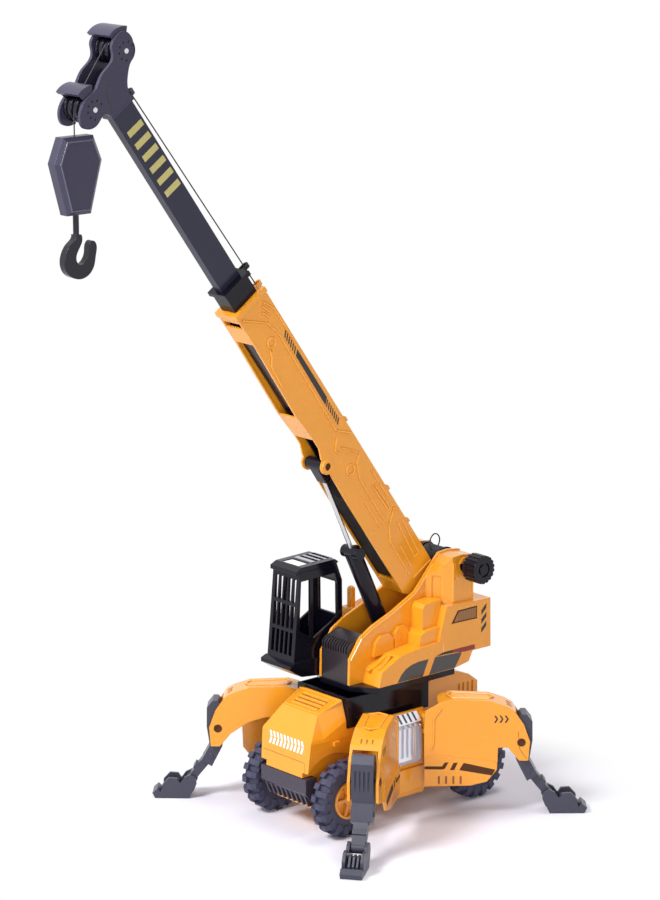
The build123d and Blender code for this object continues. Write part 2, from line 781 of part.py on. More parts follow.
# ------------------------------------------------------------------ superstructure
def plate_outline():
    """Side outline of the two boom plates and of the tower over the winch."""
    return [
        (36.2, BASE_TOP_Z),
        (35.8, 107.5),
        (26.5, 120.5),
        (15.9, 126.3),
        (0.0, 132.3),
        (-19.9, 142.0),
        (-26.1, 148.4),
        (-35.0, 158.4),
        (-41.3, WINCH_Z + 7.4),
        (-49.5, WINCH_Z + 8.2),
        (-59.8, WINCH_Z + 6.8),
        (-62.0, WINCH_Z + 2.0),
        (-60.0, BODY_TOP_Z),
        (-60.0, BASE_TOP_Z + 10),
        (-52.0, BASE_TOP_Z + 2.0),
        (BASE_REAR_X + 1.0, BASE_TOP_Z),
    ]


def make_base():
    """Black slewing base with its pivot."""
    plan = [
        (BASE_REAR_X, -BASE_HALF_W),
        (BASE_CORNER_X, -BASE_HALF_W),
        (BASE_FRONT_X, -PLATE_Y),
        (BASE_FRONT_X, PLATE_Y),
        (BASE_CORNER_X, BASE_HALF_W),
        (BASE_REAR_X, BASE_HALF_W),
    ]
    slab = plan_prism(plan, BASE_Z, BASE_TOP_Z)
    pivot = post(0, 0, PIVOT_R, DECK_Z + 2 * TRAY_WALL + GAP, BASE_Z)
    core = post(0, 0, PIVOT_R - 4.0, DECK_Z + 2 * TRAY_WALL, BASE_Z - 2.0)
    return joined([slab, pivot]) - core


def side_body(y0, y1, front):
    """One flank of the body, hollow and open below."""
    rear = [
        (-33.5, BODY_TOP_Z + 1.0),
        (BODY_REAR_X, BODY_TOP_Z),
        (BODY_REAR_X - 0.6, 99.0),
        (-56.9, 99.0),
        (-53.4, 92.3),
        (BASE_REAR_X + 1.0, BASE_TOP_Z),
    ]
    form = side_prism(front + rear, y0, y1)
    low, high = min(y0, y1) + WALL, max(y0, y1) - WALL
    hollow = side_prism(
        [
            (front[0][0] - 3 * WALL, BASE_TOP_Z - 1),
            (front[1][0] - 3 * WALL, 98.0),
            (-28.0, 105.0),
            (-38.0, BODY_TOP_Z - 4.0),
            (BODY_REAR_X + WALL, BODY_TOP_Z - 4.0),
            (BODY_REAR_X + WALL, 101.0),
            (-50.0, 101.0),
            (BASE_REAR_X + 5.0, BASE_TOP_Z - 1),
        ],
        low,
        high,
    )
    return form - hollow


def tower(sign):
    """Thick block that carries the winch shaft, on one boom plate."""
    plan = [
        (-60.0, PLATE_Y - 0.5),
        (-60.0, TOWER_Y),
        (-41.5, TOWER_Y),
        (-36.5, TOWER_Y - 3.6),
        (-29.0, PLATE_Y - 0.5),
    ]
    solid = plan_prism([(x, y) for x, y in plan], 104.0, WINCH_Z + 12)
    lower = [(-60.0, 104.0), (-29.0, 104.0)]
    crest = [
        (-29.0, 150.2),
        (-35.0, 157.0),
        (-41.3, WINCH_Z + 6.6),
        (-49.5, WINCH_Z + 7.2),
        (-59.0, WINCH_Z + 6.0),
        (-60.0, WINCH_Z + 2.0),
    ]
    solid = solid & side_prism(lower + crest, 0, TOWER_Y + 5)
    panel = Pos(-33.6, 20.6, 141.5) * (Rot(0, 0, 38.0) * Box(2.4, 6.0, 20.0))
    solid = solid - panel
    boss = bar_y(WINCH_X, WINCH_Z, 5.2, TOWER_Y - 1.0, TOWER_Y + 0.9)
    solid = joined([solid, boss])
    return solid if sign > 0 else mirror(solid, about=Plane.XZ)


def make_deck_body():
    """Orange bodywork: two boom plates, the flanks, the winch towers and the rear wall."""
    left_front = [
        (25.0, BASE_TOP_Z),
        (22.4, 100.0),
        (6.6, 107.6),
        (-10.0, 109.6),
        (-26.7, 110.4),
    ]
    right_front = [
        (8.0, BASE_TOP_Z),
        (8.0, 122.0),
        (3.5, STACK_SEAT_Z),
        (-6.5, STACK_SEAT_Z),
        (-12.0, 128.8),
    ]
    pieces = [side_prism(plate_outline(), s * PLATE_Y, s * (PLATE_Y - PLATE_T)) for s in (1, -1)]
    pieces.append(side_body(PLATE_Y - 0.2, SIDE_Y, left_front))
    pieces.append(side_body(-PLATE_Y + 0.2, -SIDE_Y, right_front))
    pieces += [tower(1), tower(-1)]
    wall = block(BODY_REAR_X, BODY_REAR_X + 2 * WALL, -PLATE_Y, PLATE_Y, 99.0, BODY_TOP_Z - 6.0)
    floor = block(BODY_REAR_X, -56.0, -PLATE_Y, PLATE_Y, 99.0, 101.0)
    tie = block(-60.0, -56.0, -PLATE_Y, PLATE_Y, 99.0, 106.0)
    pieces += [wall, floor, tie]
    body = joined(pieces)
    recess = Pos(13.2, 25.0, 105.0) * (Rot(0, 26.0, 0) * Box(10.0, 3.4, 5.0))
    rib_places = ((-6.0, 118.0), (-21.0, 122.0))
    ribs = [block(x, x + 1.4, PLATE_Y - 0.2, PLATE_Y + 3.0, 105.0, top) for x, top in rib_places]
    body = joined([body - recess] + ribs)
    holes = [
        bar_y(WINCH_X, WINCH_Z, WINCH_SHAFT_R + RUN, -40, 40),
        bar_y(*boom_point(BOOM_PIVOT_S, BOOM_PIVOT_H), BOOM_PIVOT_R, -PLATE_Y - 1, PLATE_Y + 1),
        bar_y(LUFF_BASE_X, LUFF_BASE_Z, LUFF_BASE_R, -PLATE_Y - 1, PLATE_Y + 1),
    ]
    return body.cut(*holes)


def make_louvre():
    """Black ribbed block between the boom plates at the front."""
    half = PLATE_Y - PLATE_T - SEAT
    outline = [
        (24.0, BASE_TOP_Z),
        (BASE_FRONT_X, BASE_TOP_Z),
        (BASE_FRONT_X, 114.0),
        (33.0, 117.0),
        (22.0, 121.0),
        (20.0, 118.0),
        (24.0, 112.0),
    ]
    body = side_prism(outline, -half, half)
    pitch = 2 * half / LOUVRE_SLOTS
    middles = [(i + 0.5) * pitch - half for i in range(LOUVRE_SLOTS)]
    slots = [block(31.0, 40.0, y - 0.6, y + 0.6, 110.0, 125.0) for y in middles]
    return body.cut(*slots)


def make_cab():
    """Black cab cage on its own floor plate: barred front, two side lights each side."""
    outer = [
        (55.4, CAB_FLOOR_TOP_Z),
        (50.0, 160.4),
        (18.6, 161.4),
        (14.2, 150.0),
        (13.6, CAB_FLOOR_TOP_Z),
    ]
    inner = [
        (55.4 - 2 * CAB_WALL, CAB_FLOOR_TOP_Z - 1),
        (50.0 - 2 * CAB_WALL, 158.8),
        (19.8, 159.6),
        (16.0, 149.6),
        (15.2, CAB_FLOOR_TOP_Z - 1),
    ]
    shell = side_prism(outer, CAB_FAR_Y, CAB_NEAR_Y)
    room = side_prism(inner, CAB_FAR_Y + CAB_WALL, CAB_NEAR_Y - CAB_WALL)
    front_quad = [(50.6, 122.0), (49.0, 154.6), (41.6, 154.8), (41.6, 116.5)]
    rear_quad = [(38.8, 114.8), (38.8, 154.9), (20.4, 155.4), (18.2, 148.0), (18.0, 126.0)]
    front_light = side_prism(front_quad, CAB_FAR_Y - 1, CAB_NEAR_Y + 1)
    rear_light = side_prism(rear_quad, CAB_FAR_Y - 1, CAB_NEAR_Y + 1)
    bars = []
    width = CAB_NEAR_Y - CAB_FAR_Y
    pitch = (width - 4.4) / 5
    for row, (z0, z1) in enumerate(((105.4, 120.6), (122.8, 138.0), (140.2, 156.0))):
        for col in range(5):
            y = CAB_FAR_Y + 2.2 + (col + 0.5) * pitch
            bars.append(block(44.0, 60.0, y - pitch / 2 + 0.7, y + pitch / 2 - 0.7, z0, z1))
    rear_window = block(10.0, 18.0, CAB_FAR_Y + 5, CAB_NEAR_Y - 5, 126.0, 148.0)
    cage = shell.cut(room, front_light, rear_light, rear_window, *bars)
    floor_outline = [
        (13.6, BASE_TOP_Z),
        (35.0, BASE_TOP_Z),
        (50.0, 91.6),
        (59.6, 97.6),
        (59.6, 100.2),
        (55.6, CAB_FLOOR_TOP_Z),
        (13.6, CAB_FLOOR_TOP_Z),
    ]
    floor = side_prism(floor_outline, CAB_FAR_Y - 1.6, CAB_NEAR_Y + 1.6)
    return joined([cage, floor])


def make_cab_roof():
    """Roof panel with a front visor, a skylight frame and three slats."""
    z = 160.4
    outline = [
        (52.8, z - 1.4),
        (52.8, z + 1.2),
        (48.0, z + 3.4),
        (20.0, z + 4.2),
        (17.2, z + 2.2),
        (18.6, z + 1.0),
        (50.0, z),
    ]
    panel = side_prism(outline, CAB_FAR_Y + 0.2, CAB_NEAR_Y - 0.2)
    far, near = CAB_FAR_Y + 5, CAB_NEAR_Y - 5
    light = block(38.0, 47.0, far, near, z + 2.6, z + 6)
    slats = [block(20.0 + 5.0 * i, 22.6 + 5.0 * i, far, near, z + 3.4, z + 6) for i in range(3)]
    return panel.cut(light, *slats)


def make_stack():
    """Round-topped exhaust behind the cab."""
    x, y = -2.6, -27.6
    shoulder_z = 138.0
    tube = post(x, y, STACK_R, STACK_SEAT_Z, shoulder_z)
    cap = Pos(x, y, shoulder_z) * Sphere(STACK_R)
    return joined([tube, cap])


def make_superstructure(parts):
    parts["slew_base"] = make_base()
    parts["deck_body"] = make_deck_body()
    parts["engine_louvre"] = make_louvre()
    parts["cab_shell"] = make_cab()
    parts["cab_roof"] = make_cab_roof()
    parts["exhaust_stack"] = make_stack()
    pivot = bar_y(*boom_point(BOOM_PIVOT_S, BOOM_PIVOT_H), BOOM_PIVOT_R, -PLATE_Y, PLATE_Y)
    base_pin = bar_y(LUFF_BASE_X, LUFF_BASE_Z, LUFF_BASE_R, -PLATE_Y, PLATE_Y)
    parts["body_pins"] = Compound([pivot, base_pin])


# ------------------------------------------------------------------ winch
def make_winch(parts):
    knob_back = KNOB_FACE_Y - KNOB_L
    parts["winch_shaft"] = bar_y(WINCH_X, WINCH_Z, WINCH_SHAFT_R, -TOWER_Y - 1.2, knob_back + 6.0)
    core = bar_y(WINCH_X, WINCH_Z, DRUM_R, -DRUM_HALF_L, DRUM_HALF_L)
    inside = DRUM_HALF_L - DRUM_FLANGE_T
    flanges = [
        bar_y(WINCH_X, WINCH_Z, DRUM_FLANGE_R, sign * DRUM_HALF_L, sign * inside) for sign in (1, -1)
    ]
    bore = bar_y(WINCH_X, WINCH_Z, WINCH_SHAFT_R, -DRUM_HALF_L - 1, DRUM_HALF_L + 1)
    parts["winch_drum"] = joined([core] + flanges) - bore
    wound_half = DRUM_HALF_L - DRUM_FLANGE_T
    wound = bar_y(WINCH_X, WINCH_Z, WOUND_R, -wound_half, wound_half)
    parts["wound_line"] = wound - bar_y(WINCH_X, WINCH_Z, DRUM_R, -DRUM_HALF_L, DRUM_HALF_L)
    knob = bar_y(WINCH_X, WINCH_Z, KNOB_R, knob_back, KNOB_FACE_Y)
    grooves = []
    for i in range(KNOB_GROOVES):
        a = radians(360 * i / KNOB_GROOVES)
        x, z = WINCH_X + KNOB_R * cos(a), WINCH_Z + KNOB_R * sin(a)
        grooves.append(bar_y(x, z, 0.75, knob_back - 1, KNOB_FACE_Y + 1))
    ring = bar_y(WINCH_X, WINCH_Z, 5.0, KNOB_FACE_Y - 1.2, KNOB_FACE_Y + 1) - bar_y(
        WINCH_X, WINCH_Z, 3.4, KNOB_FACE_Y - 2, KNOB_FACE_Y + 2
    )
    shaft_hole = bar_y(WINCH_X, WINCH_Z, WINCH_SHAFT_R, knob_back - 1, knob_back + 6.0)
    parts["winch_knob"] = knob.cut(*grooves, ring, shaft_hole)


# ------------------------------------------------------------------ boom
def boom_point(s, h):
    """X and Z of a point of the boom at rest: s along it from the ear pin, h towards its back."""
    a = radians(BOOM_ELEV)
    return EAR_X + s * cos(a) - h * sin(a), EAR_Z + s * sin(a) + h * cos(a)


def place_boom(solid):
    """From the boom's frame (along, across, towards its back) to the vehicle."""
    return Pos(EAR_X, 0, EAR_Z) * (Rot(0, -BOOM_ELEV, 0) * solid)


def line_height(s):
    """Height of the hoist line over the ear pin's level, along the boom."""
    return LINE_END_H + LINE_SLOPE * (LINE_END_S - s)


def line_slot(s0, s1):
    """Slot in the middle of a stage's back that the hoist line can sink into."""
    return block(s0, s1, -LINE_SLOT_HALF_W, LINE_SLOT_HALF_W, LINE_SLOT_H, BOOM_BACK_H + 20)


def eyelet(s, foot_h, top_h):
    """Tall eyelet on a stage's back, open over the line's whole travel."""
    post_part = block(s - 1.2, s + 1.2, -EYELET_HALF_W, EYELET_HALF_W, foot_h, top_h)
    crest = Pos(s, 0, top_h) * (Rot(0, 90, 0) * Cylinder(EYELET_HALF_W, 2.4))
    way = block(s - 2, s + 2, -LINE_SLOT_HALF_W, LINE_SLOT_HALF_W, LINE_SLOT_H, top_h)
    arch = Pos(s, 0, top_h) * (Rot(0, 90, 0) * Cylinder(LINE_SLOT_HALF_W, 4.0))
    return joined([post_part, crest]).cut(way, arch)


def boom_flank():
    """Side outline of the boom box, without its ears and its foot's round end."""
    belly = [
        (COLLAR_S, 1.4),
        (103.0, 1.7),
        (77.0, 0.9),
        (43.0, 0.1),
        (22.0, 1.7),
        (14.0, 1.7),
        (7.0, -1.0),
        (-5.0, -1.2),
        (-30.0, -2.0),
        (-115.0, -2.3),
        (BOOM_PIVOT_S, BOOM_PIVOT_H - FOOT_R),
    ]
    back = [
        (BOOM_PIVOT_S, BOOM_PIVOT_H + FOOT_R),
        (-114.0, BOOM_BACK_H),
        (COLLAR_S, BOOM_BACK_H),
    ]
    return belly + back


def boom_hollows():
    """The spaces cut out of the boom box: bore, room over the belly plate, slots and mouth."""
    inner_half = BOOM_HALF_W - BOOM_WALL
    lining_s = COLLAR_S - COLLAR_LINING
    low = SLEEVE_H - SLIDE
    bore = block(-97.0, lining_s, -inner_half, inner_half, low, BOOM_BACK_H - BOOM_WALL)
    mouth_half = SLEEVE_HALF_W + SLIDE
    mouth = block(lining_s - 1, COLLAR_S + 1, -mouth_half, mouth_half, low, SLEEVE_TOP_H + SLIDE)
    room_outline = [
        (lining_s, 1.6 + BOOM_WALL),
        (103.0, 1.7 + BOOM_WALL),
        (77.0, 0.9 + BOOM_WALL),
        (43.0, 0.1 + BOOM_WALL),
        (21.5, 1.7 + BOOM_WALL),
        (21.5, -20.0),
        (-104.0, -20.0),
        (-104.0, 3.0),
        (-97.0, 16.0),
        (lining_s, low + 1),
    ]
    room = side_prism(room_outline, -inner_half, inner_half)
    slot_half = inner_half - 0.4
    slot_ends = ((117.0, 121.5), (42.5, 103.5))
    slots = [block(s0, s1, -slot_half, slot_half, -8.0, low + 0.5) for s0, s1 in slot_ends]
    return [bore, mouth, room] + slots


def make_main_boom():
    """Orange boom box: back and cheeks, banded open belly, luff ears, foot and end collar."""
    inner_half = BOOM_HALF_W - BOOM_WALL
    form = side_prism(boom_flank(), -BOOM_HALF_W, BOOM_HALF_W)
    foot = bar_y(BOOM_PIVOT_S, BOOM_PIVOT_H, FOOT_R, -BOOM_HALF_W, BOOM_HALF_W)
    ears = bar_y(0, 0, EAR_R, -BOOM_HALF_W, BOOM_HALF_W)
    collar_half = BOOM_HALF_W + COLLAR_LIP
    collar_top = BOOM_BACK_H + COLLAR_LIP
    collar = block(COLLAR_S - COLLAR_L, COLLAR_S, -collar_half, collar_half, 0.7, collar_top)
    boom = joined([form, foot, ears, collar]).cut(*boom_hollows())
    rail = block(-96.5, -15.0, RAIL_IN_Y, inner_half + 0.3, SHOE_H - SLIDE - 1.2, SHOE_H - SLIDE)
    bush = bar_y(BOOM_PIVOT_S, BOOM_PIVOT_H, 6.0, -BOOM_HALF_W, BOOM_HALF_W)
    lugs = [block(s, s + 3.0, 3.0, 9.0, BOOM_BACK_H - 0.3, BOOM_BACK_H + 2.0) for s in (12.0, -50.0, -80.0)]
    side_lugs = []
    for piece in [rail] + lugs:
        side_lugs += both_sides(piece)
    boom = joined([boom, bush] + side_lugs)
    boom = boom.cut(line_slot(28.0, COLLAR_S + 1), bar_y(0, 0, EAR_ROOM_R, -inner_half, inner_half))
    boom = joined([boom, eyelet(COLLAR_S - 1.8, BOOM_BACK_H, line_height(LINE_REAR_S) + 0.2)])
    pin = bar_y(0, 0, LUFF_PIN_R, -BOOM_HALF_W - 1, BOOM_HALF_W + 1)
    pivot = bar_y(BOOM_PIVOT_S, BOOM_PIVOT_H, BOOM_PIVOT_R + RUN, -BOOM_HALF_W - 1, BOOM_HALF_W + 1)
    return boom.cut(pin, pivot)


def make_sleeve():
    """Black middle stage: box tube with an end flange and an eyelet, open below at its rear."""
    half = SLEEVE_HALF_W
    bore_half = half - SLEEVE_WALL
    flange_s = SLEEVE_TOP_S - 3.0
    tube = block(SLEEVE_FLOOR_S, SLEEVE_TOP_S, -half, half, SLEEVE_H, SLEEVE_TOP_H)
    channel = block(SLEEVE_REAR_S, SLEEVE_FLOOR_S, -half, half, SHOE_H, SLEEVE_TOP_H)
    shoe_half = BOOM_HALF_W - BOOM_WALL - SLIDE
    shoe_top = BOOM_BACK_H - BOOM_WALL - SLIDE
    shoe = block(SLEEVE_REAR_S, SLEEVE_REAR_S + SHOE_L, -shoe_half, shoe_half, SHOE_H, shoe_top)
    lip = half + 1.8
    flange = block(flange_s, SLEEVE_TOP_S, -lip, lip, SLEEVE_H - 1.2, SLEEVE_TOP_H + 1.8)
    floor_h, roof_h = SLEEVE_H + SLEEVE_WALL, SLEEVE_TOP_H - SLEEVE_WALL
    bore = block(SLEEVE_REAR_S - 1, flange_s, -bore_half, bore_half, floor_h, roof_h)
    mouth_half = INNER_HALF_W + SLIDE
    mouth = block(flange_s - 1, SLEEVE_TOP_S + 1, -mouth_half, mouth_half, floor_h, INNER_TOP_H + SLIDE)
    stage = joined([tube, channel, shoe, flange]).cut(bore, mouth, line_slot(flange_s - 1, SLEEVE_TOP_S + 1))
    return joined([stage, eyelet(SLEEVE_TOP_S - 1.5, SLEEVE_TOP_H, line_height(SLEEVE_TOP_S - 45.0))])


def make_inner_boom():
    """Black inner stage: a straight box tube with a wider rear end."""
    tube = block(INNER_REAR_S, INNER_TOP_S, -INNER_HALF_W, INNER_HALF_W, INNER_H, INNER_TOP_H)
    shoe_half = SLEEVE_HALF_W - SLEEVE_WALL - SLIDE
    shoe_top = SLEEVE_TOP_H - SLEEVE_WALL - SLIDE
    shoe = block(INNER_REAR_S, INNER_REAR_S + SHOE_L, -shoe_half, shoe_half, INNER_H, shoe_top)
    bore = block(
        INNER_REAR_S - 1,
        INNER_TOP_S + 1,
        -INNER_HALF_W + INNER_WALL,
        INNER_HALF_W - INNER_WALL,
        INNER_H + INNER_WALL,
        INNER_TOP_H - INNER_WALL,
    )
    return joined([tube, shoe]) - bore


def sector(s, h, inner, outer, end, y0, y1):
    """Part of a ring about a sheave pin, from the visor's lip to an end angle."""
    ring = bar_y(s, h, outer, y0, y1) - bar_y(s, h, inner, y0 - 1, y1 + 1)
    reach = 3 * outer
    angles = (VISOR_START, (VISOR_START + end) / 2, end)
    wedge = [(s, h)] + [(s + reach * cos(radians(a)), h + reach * sin(radians(a))) for a in angles]
    return ring & side_prism(wedge, y0 - 1, y1 + 1)


def visor(s, h, end):
    """Thick curved cover over a set of sheaves, with a web to each head plate."""
    y0 = HEAD_HALF_W - HEAD_PLATE_T
    outer = VISOR_R + VISOR_T
    band = sector(s, h, VISOR_R, outer, end, -HEAD_HALF_W - 1.0, y0 + 0.2)
    webs = [sector(s, h, 7.0, outer, end, y, y + 0.8) for y in (y0 - 0.2, -y0 - 0.6)]
    return [band] + webs


def head_plate_outline():
    """Outline of a head plate from its seam round both lobes and back to the seam."""
    return [
        (287.2, 19.1),
        (295.4, 21.3),
        (301.2, 26.4),
        (303.6, 29.5),
        (305.4, 33.3),
        (309.5, 37.4),
        (315.4, 40.0),
        (322.1, 37.5),
        (322.8, 31.5),
        (320.4, 25.8),
        (316.0, 23.6),
        (313.9, 21.6),
        (312.6, 17.5),
        (312.1, 11.9),
        (309.4, 5.2),
        (307.6, 0.8),
        (307.7, -4.5),
        (306.6, -10.5),
        (303.0, -15.8),
        (296.1, -18.0),
        (291.9, -14.3),
        (291.0, -8.0),
        (292.4, -2.9),
        (287.8, 1.3),
    ]


def make_boom_head():
    """Black head: socket on the inner stage, two lobed plates, visors and the rear eyelet."""
    y0 = HEAD_HALF_W - HEAD_PLATE_T
    plate = smooth_prism(head_plate_outline(), y0, HEAD_HALF_W)
    pins = ((UPPER_PIN_S, UPPER_PIN_H), (LOWER_PIN_S, LOWER_PIN_H))
    marks = []
    for s, h in pins:
        for i in range(7):
            a = radians(39 * i - 144)
            marks.append(bar_y(s + 5.4 * cos(a), h + 5.4 * sin(a), 0.8, HEAD_HALF_W - 0.7, HEAD_HALF_W + 1))
    plate = plate.cut(*marks)
    socket = block(INNER_TOP_S, 292.0, -y0 - 0.2, y0 + 0.2, 2.4, 19.6)
    cuff_half = INNER_HALF_W + 1.4
    cuff = block(282.0, INNER_TOP_S + 0.5, -cuff_half, cuff_half, INNER_H - 1.4, INNER_TOP_H + 1.4)
    cuff = cuff - block(281.0, INNER_TOP_S, -INNER_HALF_W, INNER_HALF_W, INNER_H, INNER_TOP_H)
    wall_outline = [(287.4, 15.5), (287.4, 18.9), (295.2, 21.0), (300.8, 25.8), (302.2, 24.2), (296.6, 18.2)]
    wall = side_prism(wall_outline, -y0 - 0.2, y0 + 0.2)
    pieces = both_sides(plate) + [socket, cuff, wall]
    pieces += visor(UPPER_PIN_S, UPPER_PIN_H, UPPER_VISOR_END)
    pieces += visor(LOWER_PIN_S, LOWER_PIN_H, LOWER_VISOR_END)
    ball = Pos(LINE_END_S, 0, LINE_END_H) * (Rot(0, 90, 0) * Cylinder(2.4, 3.0))
    stem = block(LINE_END_S - 1.5, LINE_END_S + 3.0, -1.4, 1.4, INNER_TOP_H + 0.6, LINE_END_H)
    head = joined(pieces + [ball, stem])
    way = Pos(LINE_END_S, 0, LINE_END_H) * (Rot(0, 90, 0) * Cylinder(1.1, 12.0))
    holes = [bar_y(s, h, HEAD_PIN_R, -HEAD_HALF_W - 1, HEAD_HALF_W + 1) for s, h in pins]
    return head.cut(way, *holes)


def make_sheaves(s, h):
    """Grooved sheaves side by side on one tube, running on a head pin."""
    half = HEAD_HALF_W - HEAD_PLATE_T - 0.5
    width = 2 * half / SHEAVE_COUNT
    profile = [(HEAD_PIN_R + RUN, -half), (SHEAVE_R, -half)]
    for i in range(SHEAVE_COUNT):
        y = -half + i * width
        profile += [
            (SHEAVE_R, y + 1.3),
            (SHEAVE_GROOVE_R, y + width / 2 - 0.5),
            (SHEAVE_GROOVE_R, y + width / 2 + 0.5),
            (SHEAVE_R, y + width - 1.3),
        ]
    profile += [(SHEAVE_R, half), (HEAD_PIN_R + RUN, half)]
    return Pos(s, 0, h) * revolve(flat(profile), axis=Axis.Y)


def make_lines():
    """Hoist line along the boom's back, between the sheaves and down out of the lower ones."""
    rear = (LINE_REAR_S, 0, line_height(LINE_REAR_S))
    along = bar_between(rear, (LINE_END_S + 1, 0, line_height(LINE_END_S + 1)), LINE_R)
    step = Vector(UPPER_PIN_S - LOWER_PIN_S, 0, UPPER_PIN_H - LOWER_PIN_H)
    side = Vector(step.Z, 0, -step.X).normalized() * (SHEAVE_GROOVE_R + LINE_R + 0.2)
    start = Vector(LOWER_PIN_S, 0, LOWER_PIN_H) + side
    between = bar_between(tuple(start), tuple(start + step), LINE_R)
    x, z = hook_axis()
    fall = post(x, 0, LINE_R, z - HOOK_SWING_DROP + SWING_EYE_R + 0.3, z)
    return Compound([place_boom(along), place_boom(between), fall])


def make_boom(parts):
    parts["main_boom"] = place_boom(make_main_boom())
    parts["luff_pin"] = place_boom(bar_y(0, 0, LUFF_PIN_R, -BOOM_HALF_W, BOOM_HALF_W))
    parts["boom_sleeve"] = place_boom(make_sleeve())
    parts["inner_boom"] = place_boom(make_inner_boom())
    parts["boom_head"] = place_boom(make_boom_head())
    pins = [
        bar_y(s, h, HEAD_PIN_R, -HEAD_HALF_W - 0.3, HEAD_HALF_W + 0.3)
        for s, h in ((UPPER_PIN_S, UPPER_PIN_H), (LOWER_PIN_S, LOWER_PIN_H))
    ]
    parts["head_pins"] = place_boom(Compound(pins))
    parts["upper_sheaves"] = place_boom(make_sheaves(UPPER_PIN_S, UPPER_PIN_H))
    parts["lower_sheaves"] = place_boom(make_sheaves(LOWER_PIN_S, LOWER_PIN_H))
    parts["boom_line"] = make_lines()


# ------------------------------------------------------------------ luff cylinder
def luff_frame():
    """Length and elevation of the cylinder at rest, base pin to ear pin."""
    dx, dz = EAR_X - LUFF_BASE_X, EAR_Z - LUFF_BASE_Z
    return hypot(dx, dz), degrees(atan2(dz, dx))


def place_luff(solid):
    """From the cylinder's frame, with X along it from the base pin."""
    return Pos(LUFF_BASE_X, 0, LUFF_BASE_Z) * (Rot(0, -luff_frame()[1], 0) * solid)


def make_luff(parts):
    length = luff_frame()[0]
    tube = bar_between((3.0, 0, 0), (BARREL_L, 0, 0), BARREL_R)
    eye = bar_y(0, 0, 5.8, -6.5, 6.5)
    gland = bar_y(BARREL_L - 2.0, 0, 4.2, -7.6, 7.6)
    bore = bar_between((7.0, 0, 0), (BARREL_L - 5.0, 0, 0), BARREL_BORE_R)
    throat = bar_between((7.0, 0, 0), (BARREL_L + 4.0, 0, 0), ROD_R + RUN)
    pin_hole = bar_y(0, 0, LUFF_BASE_R + RUN, -8, 8)
    parts["luff_barrel"] = place_luff(joined([tube, eye, gland]).cut(bore, throat, pin_hole))
    piston_end = BARREL_L - 8.0 - 10.0
    rod = bar_between((piston_end, 0, 0), (length - CLEVIS_L + 4.0, 0, 0), ROD_R)
    piston = bar_between((piston_end - 6.0, 0, 0), (piston_end, 0, 0), BARREL_BORE_R - RUN)
    parts["luff_rod"] = place_luff(joined([rod, piston]))
    fork = [(-CLEVIS_L, -2.2), (-CLEVIS_L, 2.2), (-1.0, 4.0), (-1.0, -4.0)]
    wedge = Pos(length, 0, 0) * side_prism(fork, -4.2, 4.2)
    bush = bar_y(length, 0, BUSH_R, -BOOM_HALF_W + BOOM_WALL + GAP, BOOM_HALF_W - BOOM_WALL - GAP)
    socket = bar_between((length - CLEVIS_L - 1, 0, 0), (length - CLEVIS_L + 4.0, 0, 0), ROD_R)
    play = bar_y(length, 0, LUFF_PIN_R + BUSH_PLAY, -20, 20)
    parts["luff_clevis"] = place_luff(joined([wedge, bush]).cut(socket, play))


# ------------------------------------------------------------------ hook block
def hook_axis():
    """X of the hanging line and Z of the point where it leaves the lower sheaves."""
    x, z = boom_point(LOWER_PIN_S, LOWER_PIN_H)
    return x + SHEAVE_GROOVE_R + LINE_R + 0.1, z


def make_hook(parts):
    x, z = hook_axis()
    top = z - HOOK_LINE_GAP
    bottom = top - BLOCK_H
    outline = [
        (x - BLOCK_TOP_HALF, top),
        (x + BLOCK_TOP_HALF, top),
        (x + BLOCK_WIDE_HALF, top - BLOCK_SHOULDER),
        (x + BLOCK_BOTTOM_HALF, bottom),
        (x - BLOCK_BOTTOM_HALF, bottom),
        (x - BLOCK_WIDE_HALF, top - BLOCK_SHOULDER),
    ]
    coffin = side_prism(outline, -BLOCK_T / 2, BLOCK_T / 2)
    faces = coffin.faces().filter_by(Axis.Y)
    coffin = chamfer(faces.edges(), 2.2)
    shank_bore = post(x, 0, SHANK_R + RUN, bottom - 1, bottom + 5.4)
    parts["hook_block"] = coffin - shank_bore
    eye = bar_y(x, z - HOOK_SWING_DROP, SWING_EYE_R, -SWING_EYE_R, SWING_EYE_R)
    parts["hook_line"] = joined([post(x, 0, LINE_R, top, z - HOOK_SWING_DROP), eye])
    parts["hook"] = make_hook_body(x, bottom)


def make_hook_body(x, top):
    """Round shank in the block and a flat hook that opens to the rear."""
    outline = [
        (1.8, -HOOK_NECK_DROP),
        (2.2, -14.0),
        (5.6, -17.0),
        (8.9, -21.3),
        (10.5, -27.4),
        (8.7, -33.4),
        (4.5, -36.8),
        (-0.7, -38.1),
        (-6.7, -36.4),
        (-10.7, -31.7),
        (-12.3, -24.8),
        (-12.5, -18.2),
        (-10.6, -16.4),
        (-8.4, -17.6),
        (-7.2, -23.0),
        (-5.1, -27.7),
        (-1.8, -29.6),
        (1.1, -28.2),
        (1.8, -24.4),
        (0.0, -20.5),
        (-2.4, -16.1),
        (-2.0, -HOOK_NECK_DROP),
    ]
    body = smooth_prism([(x + u, top + v) for u, v in outline], -HOOK_T / 2, HOOK_T / 2)
    shank = post(x, 0, SHANK_R, top - HOOK_NECK_DROP - 2.0, top + 5.2)
    return joined([body, shank])


# ------------------------------------------------------------------ whole model
def build():
    """All nodes by name, in their places."""
    parts = {}
    make_chassis(parts)
    make_wheels(parts)
    make_legs(parts)
    make_superstructure(parts)
    make_winch(parts)
    make_boom(parts)
    make_luff(parts)
    make_hook(parts)
    return parts


def main():
    os.makedirs("parts", exist_ok=True)
    for name, solid in build().items():
        export_step(solid, f"parts/{name}.step")


main()
